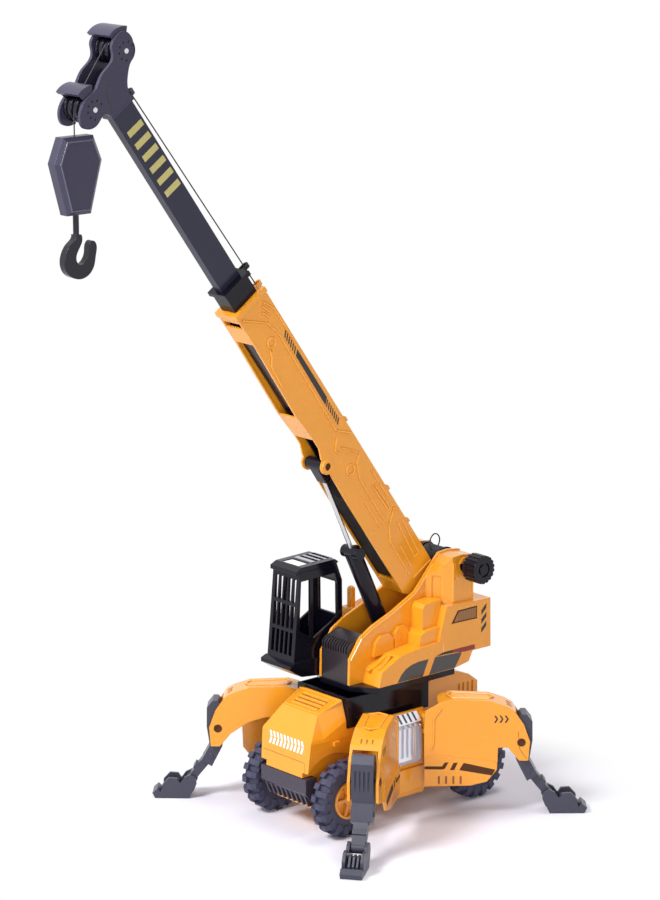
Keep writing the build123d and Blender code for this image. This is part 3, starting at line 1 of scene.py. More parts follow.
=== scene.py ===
"""Looks of the toy crane truck: finishes, printed marks, moulded relief, line, lights and camera.

Lengths are in millimetres until a mesh is written.  A Place is a flat working frame inside the
shared one: u and v lie in the surface and w leaves it.
"""

import json
from math import cos, radians, sin

import bpy
import numpy as np
from mathutils import Matrix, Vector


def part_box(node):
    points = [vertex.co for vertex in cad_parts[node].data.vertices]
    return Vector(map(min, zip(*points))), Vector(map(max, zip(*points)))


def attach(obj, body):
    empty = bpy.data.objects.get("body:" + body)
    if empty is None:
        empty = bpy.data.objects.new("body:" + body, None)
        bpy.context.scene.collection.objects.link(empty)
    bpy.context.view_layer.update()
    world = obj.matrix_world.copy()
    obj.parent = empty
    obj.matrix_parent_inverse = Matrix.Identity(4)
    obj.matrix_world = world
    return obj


MM = 0.001
X, Y, Z = np.eye(3)
SUNK = -0.1  # the foot of a mark or a raised line lies this far inside the surface
TOUCH = 0.02  # a mark's plane is set this far inside a flat face
PRINT_HIGH = 0.12  # the top of a printed mark
THIN_HIGH = 0.05  # the top of a crease or a gap's dark floor

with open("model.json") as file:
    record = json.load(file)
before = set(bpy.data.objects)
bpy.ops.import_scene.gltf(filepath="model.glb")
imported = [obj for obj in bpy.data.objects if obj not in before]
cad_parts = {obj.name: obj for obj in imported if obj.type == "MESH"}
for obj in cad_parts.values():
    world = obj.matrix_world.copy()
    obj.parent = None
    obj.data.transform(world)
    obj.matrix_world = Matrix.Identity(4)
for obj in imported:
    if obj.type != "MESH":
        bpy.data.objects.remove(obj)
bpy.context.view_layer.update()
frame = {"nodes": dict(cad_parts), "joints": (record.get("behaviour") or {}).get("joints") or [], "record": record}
joints = {joint["name"]: joint for joint in frame["joints"]}
body_of = {
    node: body for body, nodes in frame["record"]["behaviour"]["bodies"].items() for node in nodes
}


# ------------------------------------------------------------------ where things are
def box(node):
    """Lowest and highest corner of a node, in millimetres."""
    return [np.array(corner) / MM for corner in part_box(node)]


def middle(node):
    """Middle of a node's box, in millimetres."""
    low, high = box(node)
    return (low + high) / 2


def joint_at(name):
    """A joint's point, in millimetres."""
    return np.array(joints[name]["pos_m"]) / MM


def unit(vector):
    """A vector divided by its length."""
    vector = np.asarray(vector, float)
    return vector / np.linalg.norm(vector)


class Place:
    """A flat working frame: point (u, v, w) lies at origin + u*along + v*up + w*out."""

    def __init__(self, origin, along, up, out):
        self.origin = np.asarray(origin, float)
        self.axes = np.array([unit(along), unit(up), unit(out)])

    def __call__(self, points):
        return self.origin + np.asarray(points, float) @ self.axes

    def mirrored(self):
        """Whether the frame is left-handed."""
        return np.linalg.det(self.axes) < 0

    def moved(self, u=0.0, v=0.0, w=0.0):
        """The same frame, shifted along its own axes."""
        return Place(self([u, v, w]), *self.axes)


BOOM_DIR = unit(joints["sleeve_slide"]["axis"])
BOOM_UP = np.cross(Y, -BOOM_DIR)
EAR = middle("luff_pin")
BOOM_HALF = box("luff_pin")[1][1]
JIB_HALF = 3.3
DECK_HALF = box("slew_base")[1][1]
FLANK_INSET = 0.1
PLATE_HALF = box("body_pins")[1][1]
LEG_HALF = 10.0
CORNERS = ("front_left", "front_right", "rear_left", "rear_right")


def hand(side):
    """The side's name, as the pieces' names end."""
    return "left" if side > 0 else "right"


def boom_side(side, half_width):
    """Flank of a boom stage: u along the boom from the ear pin, v towards its back."""
    return Place(EAR + side * half_width * Y, BOOM_DIR, BOOM_UP, side * Y)


def leg_place(corner):
    """Middle plane of a leg: u out from the hinge, v up from the ground, w off the chassis."""
    lateral = unit(joints["knee_" + corner]["axis"])
    along = np.cross(Z, lateral)
    hinge = joint_at("leg_swing_" + corner) * [1, 1, 0]
    outward = lateral * np.sign(lateral[1] * hinge[1])
    return Place(hinge, along, Z, outward)


# ------------------------------------------------------------------ meshes
def new_piece(name, points, faces, finish, body, smooth=False):
    """Object from points in millimetres; it sits at the origin and rides on a body."""
    mesh = bpy.data.meshes.new(name)
    corners = (np.asarray(points) * MM).tolist()
    mesh.from_pydata(corners, [], [list(map(int, face)) for face in faces])
    mesh.materials.append(finish)
    mesh.polygons.foreach_set("use_smooth", [smooth] * len(mesh.polygons))
    mesh.update()
    piece = bpy.data.objects.new(name, mesh)
    bpy.context.scene.collection.objects.link(piece)
    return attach(piece, body)


def grid_faces(rows, columns, close_columns=False):
    """Quads of a rows x columns grid of points; the columns may close on themselves."""
    across = columns if close_columns else columns - 1
    row = np.arange(rows - 1)[:, None]
    column = np.arange(across)[None, :]
    after = (column + 1) % columns
    here, beyond = row * columns, (row + 1) * columns
    quads = np.stack([here + column, here + after, beyond + after, beyond + column], axis=-1)
    return quads.reshape(-1, 4)


def gather(shapes):
    """One list of points and faces from several."""
    points, faces, count = [], [], 0
    for some_points, some_faces in shapes:
        points.append(np.asarray(some_points, float))
        faces += [[int(i) + count for i in face] for face in some_faces]
        count += len(some_points)
    return np.concatenate(points), faces


def turned_out(faces, place):
    """Faces in the order that points them out of a place, which may be mirrored."""
    step = -1 if place.mirrored() else 1
    return [list(face)[::step] for face in faces]


def anticlockwise(outline):
    """An outline in the order that gives it a positive area."""
    outline = np.asarray(outline, float)
    after = np.roll(outline, -1, axis=0)
    area = np.sum(outline[:, 0] * after[:, 1] - after[:, 0] * outline[:, 1])
    return outline if area > 0 else outline[::-1]


def slab(outline, place, low=SUNK, high=PRINT_HIGH, draw_in=0.0):
    """Plate: each corner of an outline at the low height, and at the high one drawn inwards."""
    outline = anticlockwise(outline)
    count = len(outline)
    centre = outline.mean(axis=0)
    reach = np.linalg.norm(outline - centre, axis=1, keepdims=True)
    top = centre + (outline - centre) * (1 - draw_in / reach)
    rings = ((outline, low), (top, high))
    points = np.concatenate([np.hstack([ring, np.full((count, 1), w)]) for ring, w in rings])
    index = np.arange(count)
    after = (index + 1) % count
    sides = np.stack([index, after, after + count, index + count], axis=1)
    faces = [*sides.tolist(), (index + count).tolist(), index[::-1].tolist()]
    return place(points), turned_out(faces, place)


CREST_SHARE = 0.28  # half of a raised line's flat top, as a share of its width
SHARPEST_MITRE = 0.35


def ridge(line, place, width=1.0, height=0.35, closed=False):
    """Raised line: a flat-topped profile carried along a polyline.

    At a corner the profile stands along the mean of the two directions' normals, stretched by one
    over the cosine of half the turn.
    """
    line = np.asarray(line, float)
    if closed:
        before, after = np.roll(line, 1, axis=0), np.roll(line, -1, axis=0)
    else:
        before = np.vstack([line[:1] * 2 - line[1:2], line[:-1]])
        after = np.vstack([line[1:], line[-1:] * 2 - line[-2:-1]])
    arriving = (line - before) / np.linalg.norm(line - before, axis=1, keepdims=True)
    leaving = (after - line) / np.linalg.norm(after - line, axis=1, keepdims=True)
    mean = arriving + leaving
    mean /= np.linalg.norm(mean, axis=1, keepdims=True)
    mitre = np.stack([-mean[:, 1], mean[:, 0]], axis=1)
    stretch = 1 / np.clip(np.sum(mean * leaving, axis=1, keepdims=True), SHARPEST_MITRE, 1)
    foot, crest = width / 2, width * CREST_SHARE
    profile = [(-foot, SUNK), (-crest, height), (crest, height), (foot, SUNK)]
    rows = [
        np.hstack([line + mitre * stretch * u, np.full((len(line), 1), w)]) for u, w in profile
    ]
    points = np.stack(rows, axis=1).reshape(-1, 3)
    if closed:
        points = np.vstack([points, points[:4]])
    count = len(points) // 4
    faces = grid_faces(count, 4, close_columns=True)[:, ::-1].tolist()
    if not closed:
        last = 4 * count - 1
        faces += [[0, 1, 2, 3], [last, last - 1, last - 2, last - 3]]
    return place(points), turned_out(faces, place)


def circle(centre, radius, count=28):
    """Points centre + radius*(cos t, sin t) once round."""
    t = np.linspace(0, 2 * np.pi, count, endpoint=False)
    return np.asarray(centre) + radius * np.stack([np.cos(t), np.sin(t)], axis=1)


def turned(profile, place, count=48):
    """Surface of revolution about w: each (radius, height) pair of the profile swept once round."""
    profile = np.asarray(profile, float)
    t = np.linspace(0, 2 * np.pi, count, endpoint=False)
    ring = np.stack([np.cos(t), np.sin(t)], axis=1)
    points = np.concatenate(
        [np.hstack([radius * ring, np.full((count, 1), height)]) for radius, height in profile]
    )
    last = count * (len(profile) - 1)
    ends = [list(range(count))[::-1], list(range(last, last + count))]
    walls = grid_faces(len(profile), count, close_columns=True)
    return place(points), turned_out([*walls, *ends], place)


# ------------------------------------------------------------------ finishes
COAT_ROUGHNESS = 0.08
NOISE_SPAN = (0.3, 0.7)  # the part of a noise's range that is spread out
DRIFT_SCALE, GLOSS_SCALE, GRAIN_SCALE = 28, 160, 900
GLOSS_SPREAD = 4
GRAIN_DEPTH = 0.0004
EDGE_SAMPLES = 6


def finish(
    name, colour, roughness, metallic=0.0, coat=0.0, tint=0.02, mottle=0.03, bump=0.02, edge=0.35,
    level=0.5,
):
    """Moulded or printed surface: faint tone drift, uneven gloss, fine grain and softened edges.

    tint is the drift's share of the colour, mottle the gloss's unevenness, bump the grain's
    strength, edge the radius in millimetres that edges look rounded to, and level the shine.
    """
    material = bpy.data.materials.new(name)
    material.use_nodes = True
    nodes, links = material.node_tree.nodes, material.node_tree.links
    shader = nodes["Principled BSDF"]
    shader.inputs["Metallic"].default_value = metallic
    shader.inputs["Coat Weight"].default_value = coat
    shader.inputs["Coat Roughness"].default_value = COAT_ROUGHNESS
    shader.inputs["Specular IOR Level"].default_value = level
    where = nodes.new("ShaderNodeTexCoord").outputs["Object"]

    def noise(scale, detail):
        """Noise on the object's own coordinates."""
        node = nodes.new("ShaderNodeTexNoise")
        node.inputs["Scale"].default_value = scale
        node.inputs["Detail"].default_value = detail
        links.new(where, node.inputs["Vector"])
        return node.outputs["Fac"]

    def spread(source, low, high):
        """The middle of a noise's range stretched from low to high."""
        node = nodes.new("ShaderNodeMapRange")
        node.inputs["From Min"].default_value = NOISE_SPAN[0]
        node.inputs["From Max"].default_value = NOISE_SPAN[1]
        node.inputs["To Min"].default_value = low
        node.inputs["To Max"].default_value = high
        links.new(source, node.inputs["Value"])
        return node.outputs["Result"]

    drift = nodes.new("ShaderNodeMix")
    drift.data_type = "RGBA"
    drift.inputs["A"].default_value = (*[c * (1 - tint) for c in colour], 1)
    drift.inputs["B"].default_value = (*[min(1.0, c * (1 + tint)) for c in colour], 1)
    links.new(spread(noise(DRIFT_SCALE, 3), 0.0, 1.0), drift.inputs["Factor"])
    links.new(drift.outputs["Result"], shader.inputs["Base Color"])
    uneven = mottle * GLOSS_SPREAD
    gloss = spread(noise(GLOSS_SCALE, 4), roughness * (1 - uneven), roughness * (1 + uneven))
    links.new(gloss, shader.inputs["Roughness"])
    grain = nodes.new("ShaderNodeBump")
    grain.inputs["Strength"].default_value = bump
    grain.inputs["Distance"].default_value = GRAIN_DEPTH
    links.new(noise(GRAIN_SCALE, 3), grain.inputs["Height"])
    if edge:
        soft = nodes.new("ShaderNodeBevel")
        soft.samples = EDGE_SAMPLES
        soft.inputs["Radius"].default_value = edge * MM
        links.new(soft.outputs["Normal"], grain.inputs["Normal"])
    links.new(grain.outputs["Normal"], shader.inputs["Normal"])
    return material


ORANGE = finish("orange_moulded", (0.8, 0.31, 0.014), 0.25, coat=0.45, edge=0.5, level=0.45)
# Raised lines take an orange lighter than the moulding: a painted highlight where light catches their tops.
LIT_RELIEF = finish("orange_relief_painted_highlight", (0.86, 0.38, 0.04), 0.28, coat=0.25, edge=0.1, level=0.5)
BLACK = finish("black_moulded", (0.005, 0.0045, 0.01), 0.15, edge=0.45, level=0.27)
LOUVRE = finish("louvre_moulded", (0.026, 0.02, 0.024), 0.25, edge=0.4, level=0.4)
# Very dark and dull: painted shade for the inside of the boom's open belly.
SHADE_BLACK = finish("painted_shade_black", (0.008, 0.006, 0.006), 0.6, edge=0, level=0.15)
SLATE = finish("slate_moulded", (0.041, 0.038, 0.066), 0.3, edge=0.5, level=0.3)
# Lighter than the block's slate: a painted highlight on the raised rim.
SLATE_RIM_SHEEN = finish("slate_rim_painted_highlight", (0.075, 0.072, 0.11), 0.12, edge=0.15, level=0.8)
JIB = finish("jib_moulded", (0.022, 0.021, 0.042), 0.24, edge=0.5, level=0.32)
HOOK = finish("hook_moulded", (0.007, 0.007, 0.014), 0.14, edge=0.5, level=0.4)
BUMPER = finish("bumper_moulded", (0.045, 0.036, 0.055), 0.26, edge=0.5, level=0.4)
GREY = finish("charcoal_moulded", (0.047, 0.047, 0.07), 0.32, edge=0.4, level=0.35)
RUBBER = finish(
    "tyre_rubber", (0.053, 0.053, 0.094), 0.5, mottle=0.06, bump=0.08, edge=0.5, level=0.3
)
SILVER = finish("silver_plated", (0.78, 0.79, 0.84), 0.24, metallic=0.7, edge=0.35)
STEEL = finish("bright_steel", (0.7, 0.7, 0.72), 0.2, metallic=1.0, edge=0.15)
CORD = finish("black_cord", (0.02, 0.02, 0.026), 0.6, tint=0.2, bump=0.1, edge=0)
# Black for printed marks, and also for painted shade in the fold on the boom head.
PRINT_AND_SHADE_BLACK = finish("printed_black_and_painted_shade", (0.02, 0.014, 0.012), 0.4, edge=0)
PRINT_BROWN = finish("printed_brown", (0.075, 0.03, 0.012), 0.55, edge=0, level=0.12)
PRINT_MESH = finish("printed_mesh", (0.3, 0.14, 0.04), 0.45, edge=0)
PRINT_RED = finish("printed_red", (0.24, 0.02, 0.012), 0.4, edge=0)
PRINT_YELLOW = finish("printed_yellow", (0.5, 0.44, 0.15), 0.45, edge=0)
PRINT_WHITE = finish("printed_white", (0.85, 0.86, 0.9), 0.4, edge=0)
PALE = finish("pale_window", (0.8, 0.8, 0.86), 0.15, coat=0.4, edge=0)
# Light grey for strips on the black roof: a painted reflection of the bright room.
ROOF_REFLECTION = finish("roof_strip_painted_reflection", (0.36, 0.36, 0.42), 0.2, coat=0.3, edge=0)
WINDOW = finish("smoked_window", (0.035, 0.03, 0.03), 0.2, coat=0.3, edge=0)
# Darker orange laid in bands under raised lines: painted shade at their foot.
FOOT_SHADE = finish("relief_crease", (0.5, 0.16, 0.008), 0.5, edge=0, level=0.2)
SHADOW = finish("groove_shadow", (0.24, 0.07, 0.006), 0.6, edge=0)
PALE_SEAM = finish("pale_seam", (0.9, 0.6, 0.3), 0.5, edge=0)

FINISHES = {
    "orange_plastic": ORANGE,
    "black_plastic": BLACK,
    "grey_plastic": GREY,
    "tyre": RUBBER,
    "silver_paint": SILVER,
    "steel": STEEL,
    "cord": CORD,
}
SPECIAL = {
    "hook_block": SLATE,
    "hook": HOOK,
    "boom_head": SLATE,
    "inner_boom": JIB,
    "front_bumper": BUMPER,
    "engine_louvre": LOUVRE,
}


def finish_cad_nodes():
    """Each carried-over node takes the finish of its material slot, or a special one."""
    slots = {part["node"]: part["material_slot"] for part in frame["record"]["subparts"]}
    for node, piece in frame["nodes"].items():
        piece.data.materials.clear()
        piece.data.materials.append(SPECIAL.get(node, FINISHES[slots[node]]))


# ------------------------------------------------------------------ ways to make marks
def dashes(start, step, shape, count):
    """The same small outline repeated in steps from a start."""
    return [np.asarray(shape) + np.asarray(start) + i * np.asarray(step) for i in range(count)]


def mark(name, outlines, place, paint, body, low=SUNK, high=PRINT_HIGH):
    """Printed or raised flat shapes, as one piece."""
    plates = [slab(outline, place, low, high) for outline in outlines]
    return new_piece(name, *gather(plates), paint, body)


def relief(name, lines, place, paint, body, width=1.0, height=0.35, rings=()):
    """Raised lines and rings, as one piece."""
    shapes = [ridge(line, place, width, height) for line in lines]
    shapes += [ridge(ring, place, width, height, closed=True) for ring in rings]
    return new_piece(name, *gather(shapes), paint, body)


def raised_with_foot_shade(name, shade_name, lines, place, body, width, height, foot_shade_width, rings=()):
    """Raised lines, and under them wider and almost flat ones in a darker orange: painted shade along the foot of
    each raised line.
    """
    relief(name, lines, place, LIT_RELIEF, body, width, height, rings)
    relief(shade_name, lines, place, FOOT_SHADE, body, foot_shade_width, THIN_HIGH, rings)


# ------------------------------------------------------------------ boom and hook block
def dress_main_boom(side):
    """Black stripe with dashed ends, raised panel lines and the ear's boss, on one flank."""
    flank, word = boom_side(side, BOOM_HALF), hand(side)
    stripe = [[(33.4, 21.8), (75.6, 22.3), (78.2, 25.6), (36.6, 25.6)]]
    slant = [(0, 0), (1.3, 0), (4.4, 3.3), (3.1, 3.3)]
    stripe += dashes((77.0, 22.3), (2.7, 0.03), slant, 6)
    stripe += dashes((15.6, 21.8), (2.6, 0.0), slant, 7)
    mark(f"boom_stripe_{word}", stripe, flank, PRINT_AND_SHADE_BLACK, "boom")
    lines = [
        [(123, 3.5), (114.5, 11.5), (108, 17.5), (100.7, 19.4), (95, 20.2), (14, 18.6), (4, 26.9)],
        [(120, 20.4), (113, 22.6)],
        [(116, 18.2), (110, 20.8)],
        [(121.5, 22.5), (112, 26.6), (84, 27.0)],
        [(93.0, 9.0), (88, 7.3), (84, 3.8), (68, 2.6)],
        [(10, 16.6), (4.1, 10.4), (-0.1, 11.9)],
        [(2, 15.4), (-11.6, 24.6)],
        [(-11.6, 24.6), (-15.3, 19.0), (-25.7, 14.6), (-58, 14.0), (-69.0, 14.9)],
        [(-28.1, 25.2), (-51.4, 25.4)],
        [(-36.4, 19.6), (-59.4, 20.4), (-59.4, 22.4), (-38.0, 21.6)],
        [(-40, 9), (-64, 8.8)],
        [(-69.0, 14.9), (-62.0, 24.6), (-66.9, 27.4)],
        [(-69.0, 14.9), (-78, 9.4), (-108, 8.6)],
        [(-72.2, 21.4), (-101.7, 18.9), (-101.7, 23.0), (-73.3, 25.4)],
        [(-86, 14), (-104, 13)],
        [(-112.6, 10.0), (-113.8, 27.4)],
    ]
    rings = [circle((96.0, 12.6), 3.0), circle((-15.2, 12.6), 3.2)]
    tail = [(93.2, 11.2), (90.4, 10.2), (90.0, 8.4)]
    names = (f"boom_relief_{word}", f"boom_creases_{word}")
    raised_with_foot_shade(*names, [*lines, tail], flank, "boom", 1.2, 0.75, 2.2, rings)
    ear = Place(EAR + side * BOOM_HALF * Y, X, Z, side * Y)
    boss = [(5.0, SUNK), (5.0, 0.5), (4.5, 0.9), (2.5, 0.9), (2.1, 0.03)]
    new_piece(f"ear_boss_{word}", *turned(boss, ear), ORANGE, "boom")
    cup = [(2.1, SUNK), (2.1, 0.3), (1.6, 0.15), (0.01, 0.12)]
    new_piece(f"ear_bolt_{word}", *turned(cup, ear), PRINT_BROWN, "boom", smooth=True)


def line_boom_underside():
    """Black pan in the boom's open belly behind the ears, painted shade that darkens the hollow: a stepped profile
    drawn across it.
    """
    pan = [
        (-102.0, -0.9), (-29.0, -0.9), (-22.0, 3.0), (-9.0, 3.0),
        (-9.0, 3.8), (-22.6, 3.8), (-29.6, 0.0), (-102.0, 0.0),
    ]
    wall_left = 1.25
    half, count = BOOM_HALF - wall_left, len(pan)
    middle_plane = boom_side(1, 0)
    rows = [np.hstack([pan, np.full((count, 1), y)]) for y in (-half, half)]
    walls = grid_faces(2, count, close_columns=True).tolist()
    ends = [[0, 1, 6, 7], [1, 2, 5, 6], [2, 3, 4, 5]]
    low_end = [face[::-1] for face in ends]
    high_end = [[i + count for i in face] for face in ends]
    faces = turned_out([*walls, *low_end, *high_end], middle_plane)
    new_piece("boom_underside", middle_plane(np.vstack(rows)), faces, SHADE_BLACK, "boom")


def dress_head(side):
    """Dark line painted as shade in the folded groove across one cheek of the boom head."""
    cheek = boom_side(side, box("boom_head")[1][1] - TOUCH)
    groove = [(306.4, 10.6), (303.0, 7.2), (290.6, 3.2)]
    relief(f"head_groove_painted_shade_{hand(side)}", [groove], cheek, PRINT_AND_SHADE_BLACK, "jib", 1.3, 0.08)


def dress_hook_block(side):
    """Raised glossy rim inside the edge of one face of the hook block, painted lighter than the block as a
    highlight along its chamfer.
    """
    low, high = box("hook_block")
    face = Place([(low[0] + high[0]) / 2, side * (high[1] - TOUCH), high[2]], X, Z, side * Y)
    rim = [(-9.0, -2.6), (9.0, -2.6), (14.0, -15.2), (6.6, -43.0), (-6.6, -43.0), (-14.0, -15.2)]
    name, body = f"block_rim_{hand(side)}", body_of["hook_block"]
    relief(name, [], face, SLATE_RIM_SHEEN, body, 1.0, 0.5, [rim])


def dress_inner_boom(side):
    """Six yellow bars on one flank of the inner stage."""
    bar = [(-2.1, 8.2), (2.1, 8.2), (2.1, 20.8), (-2.1, 20.8)]
    bars = dashes((220.2, 0), (9.3, 0), bar, 6)
    mark(f"jib_bars_{hand(side)}", bars, boom_side(side, JIB_HALF), PRINT_YELLOW, "jib")


def wind_cord():
    """Turns side by side on the drum: radius plus a swell that follows |sin| along the drum."""
    low, high = box("wound_line")
    radius = (high[2] - low[2]) / 2
    turns, steps, sectors = 11, 8, 40
    clear, swell_high = 0.05, 0.7
    along = np.linspace(low[1], high[1], turns * steps + 1)
    swell = np.abs(np.sin(np.linspace(0, np.pi * turns, turns * steps + 1)))
    profile = np.stack([radius + clear + swell_high * swell, along], axis=1)
    axis = middle("wound_line") * [1, 0, 1]
    winding = turned(profile, Place(axis, Z, X, Y), sectors)
    new_piece("wound_turns", *winding, CORD, "winch", smooth=True)


def loose_turn():
    """Slack turn of cord that stands off the drum's winding and goes back into it."""
    route = [
        (-46.0, 3.2, 163.2), (-43.6, 3.4, 166.4), (-44.4, 2.6, 170.2), (-48.6, 1.2, 173.2),
        (-53.6, -0.4, 172.4), (-57.4, -1.8, 168.8), (-57.6, -2.4, 164.6), (-55.6, -2.6, 161.8),
    ]
    diameter = 0.9
    name, points = "loose_cord", np.asarray(route) * MM
    curve = bpy.data.curves.new(name, "CURVE")
    curve.dimensions = "3D"
    curve.bevel_depth = diameter * MM / 2
    curve.bevel_resolution = 3
    curve.use_fill_caps = True
    line = curve.splines.new("NURBS")
    line.points.add(len(points) - 1)
    for knot, point in zip(line.points, points):
        knot.co = (*point, 1)
    line.order_u = 3
    line.use_endpoint_u = True
    line.resolution_u = 10
    curve.materials.append(CORD)
    piece = bpy.data.objects.new(name, curve)
    bpy.context.scene.collection.objects.link(piece)
    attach(piece, "upper_deck")


# ------------------------------------------------------------------ deck and cab
def dress_deck_side(side):
    """Windows, mesh panel, bars, sill stripe and seam on one flank of the deck."""
    word = hand(side)
    flank = Place([0, side * (DECK_HALF - FLANK_INSET), 0], X, Z, side * Y)
    windows = [
        [
            (9.4, 90.4), (6.0, 95.0), (2.0, 98.2), (-3.0, 100.0), (-9.0, 100.9), (-17.6, 100.9),
            (-12.6, 90.2),
        ],
        [(-18.2, 90.3), (-23.4, 101.0), (-47.0, 99.8), (-46.0, 97.4), (-40.9, 90.4)],
    ]
    mark(f"deck_windows_{word}", windows, flank, WINDOW, "upper_deck")
    black = [(-24.3, 101.4), (-30.6, 102.9), (-39.0, 102.9), (-39.0, 100.9)]
    mark(f"deck_stripe_black_{word}", [black], flank, PRINT_AND_SHADE_BLACK, "upper_deck")
    red = [(-39.0, 102.9), (-58.5, 102.9), (-58.9, 99.7), (-50.0, 99.6), (-39.0, 100.9)]
    mark(f"deck_stripe_red_{word}", [red], flank, PRINT_RED, "upper_deck")
    border = [(-37.6, 120.6), (-43.2, 128.6), (-60.4, 128.8), (-60.4, 120.2)]
    field = [(-39.9, 121.5), (-43.9, 127.7), (-59.6, 127.9), (-59.6, 121.1)]
    mark(f"deck_mesh_frame_{word}", [border], flank, PRINT_BROWN, "upper_deck", high=0.1)
    mark(f"deck_mesh_{word}", [field], flank, PRINT_MESH, "upper_deck", high=0.16)
    wires = [[(x, 121.4), (x - 0.02, 127.6)] for x in np.arange(-58.6, -43.5, 1.5)]
    over = flank.moved(w=PRINT_HIGH)
    relief(f"deck_mesh_bars_{word}", wires, over, PRINT_BROWN, "upper_deck", 0.28, 0.08)
    bar = [(0, 0), (0, 3.0), (-4.4, 7.0), (-4.4, 4.0)]
    bars = dashes((-64.5, 109.6), (0, 6.1), bar, 3)
    mark(f"deck_bars_{word}", bars, flank, PRINT_AND_SHADE_BLACK, "upper_deck")
    seam = [[(-31.2, 90.2), (-30.8, 108.6)]]
    relief(f"deck_seam_{word}", seam, flank, PALE_SEAM, "upper_deck", 0.5, 0.1)


def dress_deck_rear():
    """Slotted vent between two raised lamps on the deck's rear face."""
    rear = Place([box("deck_body")[0][0] + TOUCH, 0, 0], Y, Z, -X)
    slots = dashes((-13, 110.0), (0, 4.4), [(0, 0), (26, 0), (26, 1.6), (0, 1.6)], 4)
    mark("rear_vent", slots, rear, SHADOW, "upper_deck", high=THIN_HIGH)
    border = [(-15.6, 107.4), (15.6, 107.4), (15.6, 127.4), (-15.6, 127.4)]
    # The border's lighter orange is a painted highlight on its raised line.
    relief("rear_border", [], rear, LIT_RELIEF, "upper_deck", 1.0, 0.5, [border])
    glass = [(0, 112.0), (5.6, 112.0), (5.6, 122.0), (0, 122.0)]
    outlines = dashes((-26.6, 0), (47.6, 0), glass, 2)
    lamps = [slab(outline, rear, SUNK, 0.8, draw_in=0.6) for outline in outlines]
    new_piece("rear_lamps", *gather(lamps), PRINT_RED, "upper_deck")


def dress_deck_top():
    """Left side: steps and lumps on the boom plate, its raised edge, claws and tower trim."""
    plate = Place([0, PLATE_HALF, 0], X, Z, Y)
    upper = [(-17.0, 109.0), (-17.0, 133.6), (-19.4, 136.4), (-34.0, 137.4), (-34.0, 109.0)]
    lower = [(-11.0, 108.6), (-12.2, 117.0), (-17.2, 119.6), (-30.0, 120.4), (-30.0, 108.6)]
    upper_high, lower_high, draw_in = 10.6, DECK_HALF - PLATE_HALF - 2.4, 0.7
    steps = ((upper, upper_high), (lower, lower_high))
    blocks = [slab(outline, plate, SUNK, high, draw_in) for outline, high in steps]
    new_piece("deck_steps", *gather(blocks), ORANGE, "upper_deck")
    lumps = [
        [(17.6, 106.0), (15.8, 115.4), (11.0, 119.0), (4.0, 119.0), (0.6, 116.0), (0.0, 106.0)],
        [
            (-0.4, 106.0), (-0.6, 118.4), (-4.4, 122.0), (-9.6, 122.2), (-13.2, 118.6),
            (-13.6, 106.0),
        ],
    ]
    mark("plate_lumps", lumps, plate, ORANGE, "upper_deck", high=2.6)
    edge = [
        (35.0, 106.6), (25.6, 119.4), (15.2, 124.9), (-0.6, 131.0), (-20.6, 140.8), (-27.0, 147.6),
        (-36.0, 158.0),
    ]
    raised_with_foot_shade("plate_edge", "plate_foot_shade", [edge], plate, "upper_deck", 1.1, 0.5, 2.0)
    slot = [
        (-29.4, 141.0), (-33.4, 147.4), (-37.2, 151.0), (-38.6, 146.6), (-35.6, 137.0),
        (-31.0, 134.6),
    ]
    # The slot's rim is lighter orange: a painted highlight on the raised line.
    relief("tower_slot", [], plate, LIT_RELIEF, "upper_deck", 1.0, 0.6, [slot])
    dress_deck_slope()
    dress_tower()


def dress_deck_slope():
    """Two claws on the slope between the boom plate and the left flank."""
    run, rise = 15.8, 7.6
    at = [22.4, (PLATE_HALF + DECK_HALF) / 2, 100.0]
    slope = Place(at, Y, [-run, 0, rise], [rise, 0, run])
    claws = [
        [(-4.6, -3.0), (-1.8, -3.0), (-0.2, 4.0), (-1.2, 13.0), (-4.2, 14.0), (-3.2, 5.0)],
        [(1.8, 1.0), (4.6, 1.0), (4.2, 8.0), (2.4, 14.0), (0.6, 13.0), (2.0, 7.0)],
    ]
    mark("deck_claws", claws, slope, ORANGE, "upper_deck", high=0.9)


def dress_tower():
    """Boss under the winch shaft and two raised edges on the left tower's face.

    The boss's lower end is half an ellipse, centre + (a*cos t, b*sin t).
    """
    tower_half = 27.8
    face = Place([0, tower_half, 0], X, Z, Y)
    turn = np.radians(np.arange(0, -181, -20))
    round_end = np.stack([-48.0 + 5.6 * np.cos(turn), 152.6 + 6.2 * np.sin(turn)], axis=1)
    boss = [(-43.2, 159.6), (-42.4, 152.8), *round_end, (-53.4, 157.8)]
    mark("tower_boss", [boss], face, ORANGE, "upper_deck", high=0.9)
    edges = [[(-58.6, 136.0), (-58.6, 150.0), (-56.0, 155.0)], [(-41.8, 134.6), (-41.8, 160.0)]]
    # The edges' lighter orange is a painted highlight on the raised lines.
    relief("tower_edges", edges, face, LIT_RELIEF, "upper_deck", 1.0, 0.6)


def dress_cab():
    """Pale skylight, and grey strips across the cab's roof that paint the reflection of the bright room on its
    glossy top.
    """
    low, high = box("cab_roof")

    def across(x, width, margin):
        """Bar across the roof, short of its edges by a margin."""
        front, back = low[1] + margin, high[1] - margin
        return [(x, front), (x + width, front), (x + width, back), (x, back)]

    skylight_depth, strip_high = 1.9, 0.45
    roof = Place([0, 0, high[2] - skylight_depth], X, Y, Z)
    mark("cab_skylight", [across(38.6, 7.8, 5.4)], roof, PALE, "upper_deck", high=0.9)
    top = Place([0, 0, high[2] - strip_high], X, Y, Z)
    widths = ((18.6, 1.2), (23.0, 1.6), (28.0, 1.6), (33.0, 3.2))
    strips = [across(x, width, 4.4) for x, width in widths]
    mark("cab_roof_strips", strips, top, ROOF_REFLECTION, "upper_deck", low=-0.5, high=strip_high)


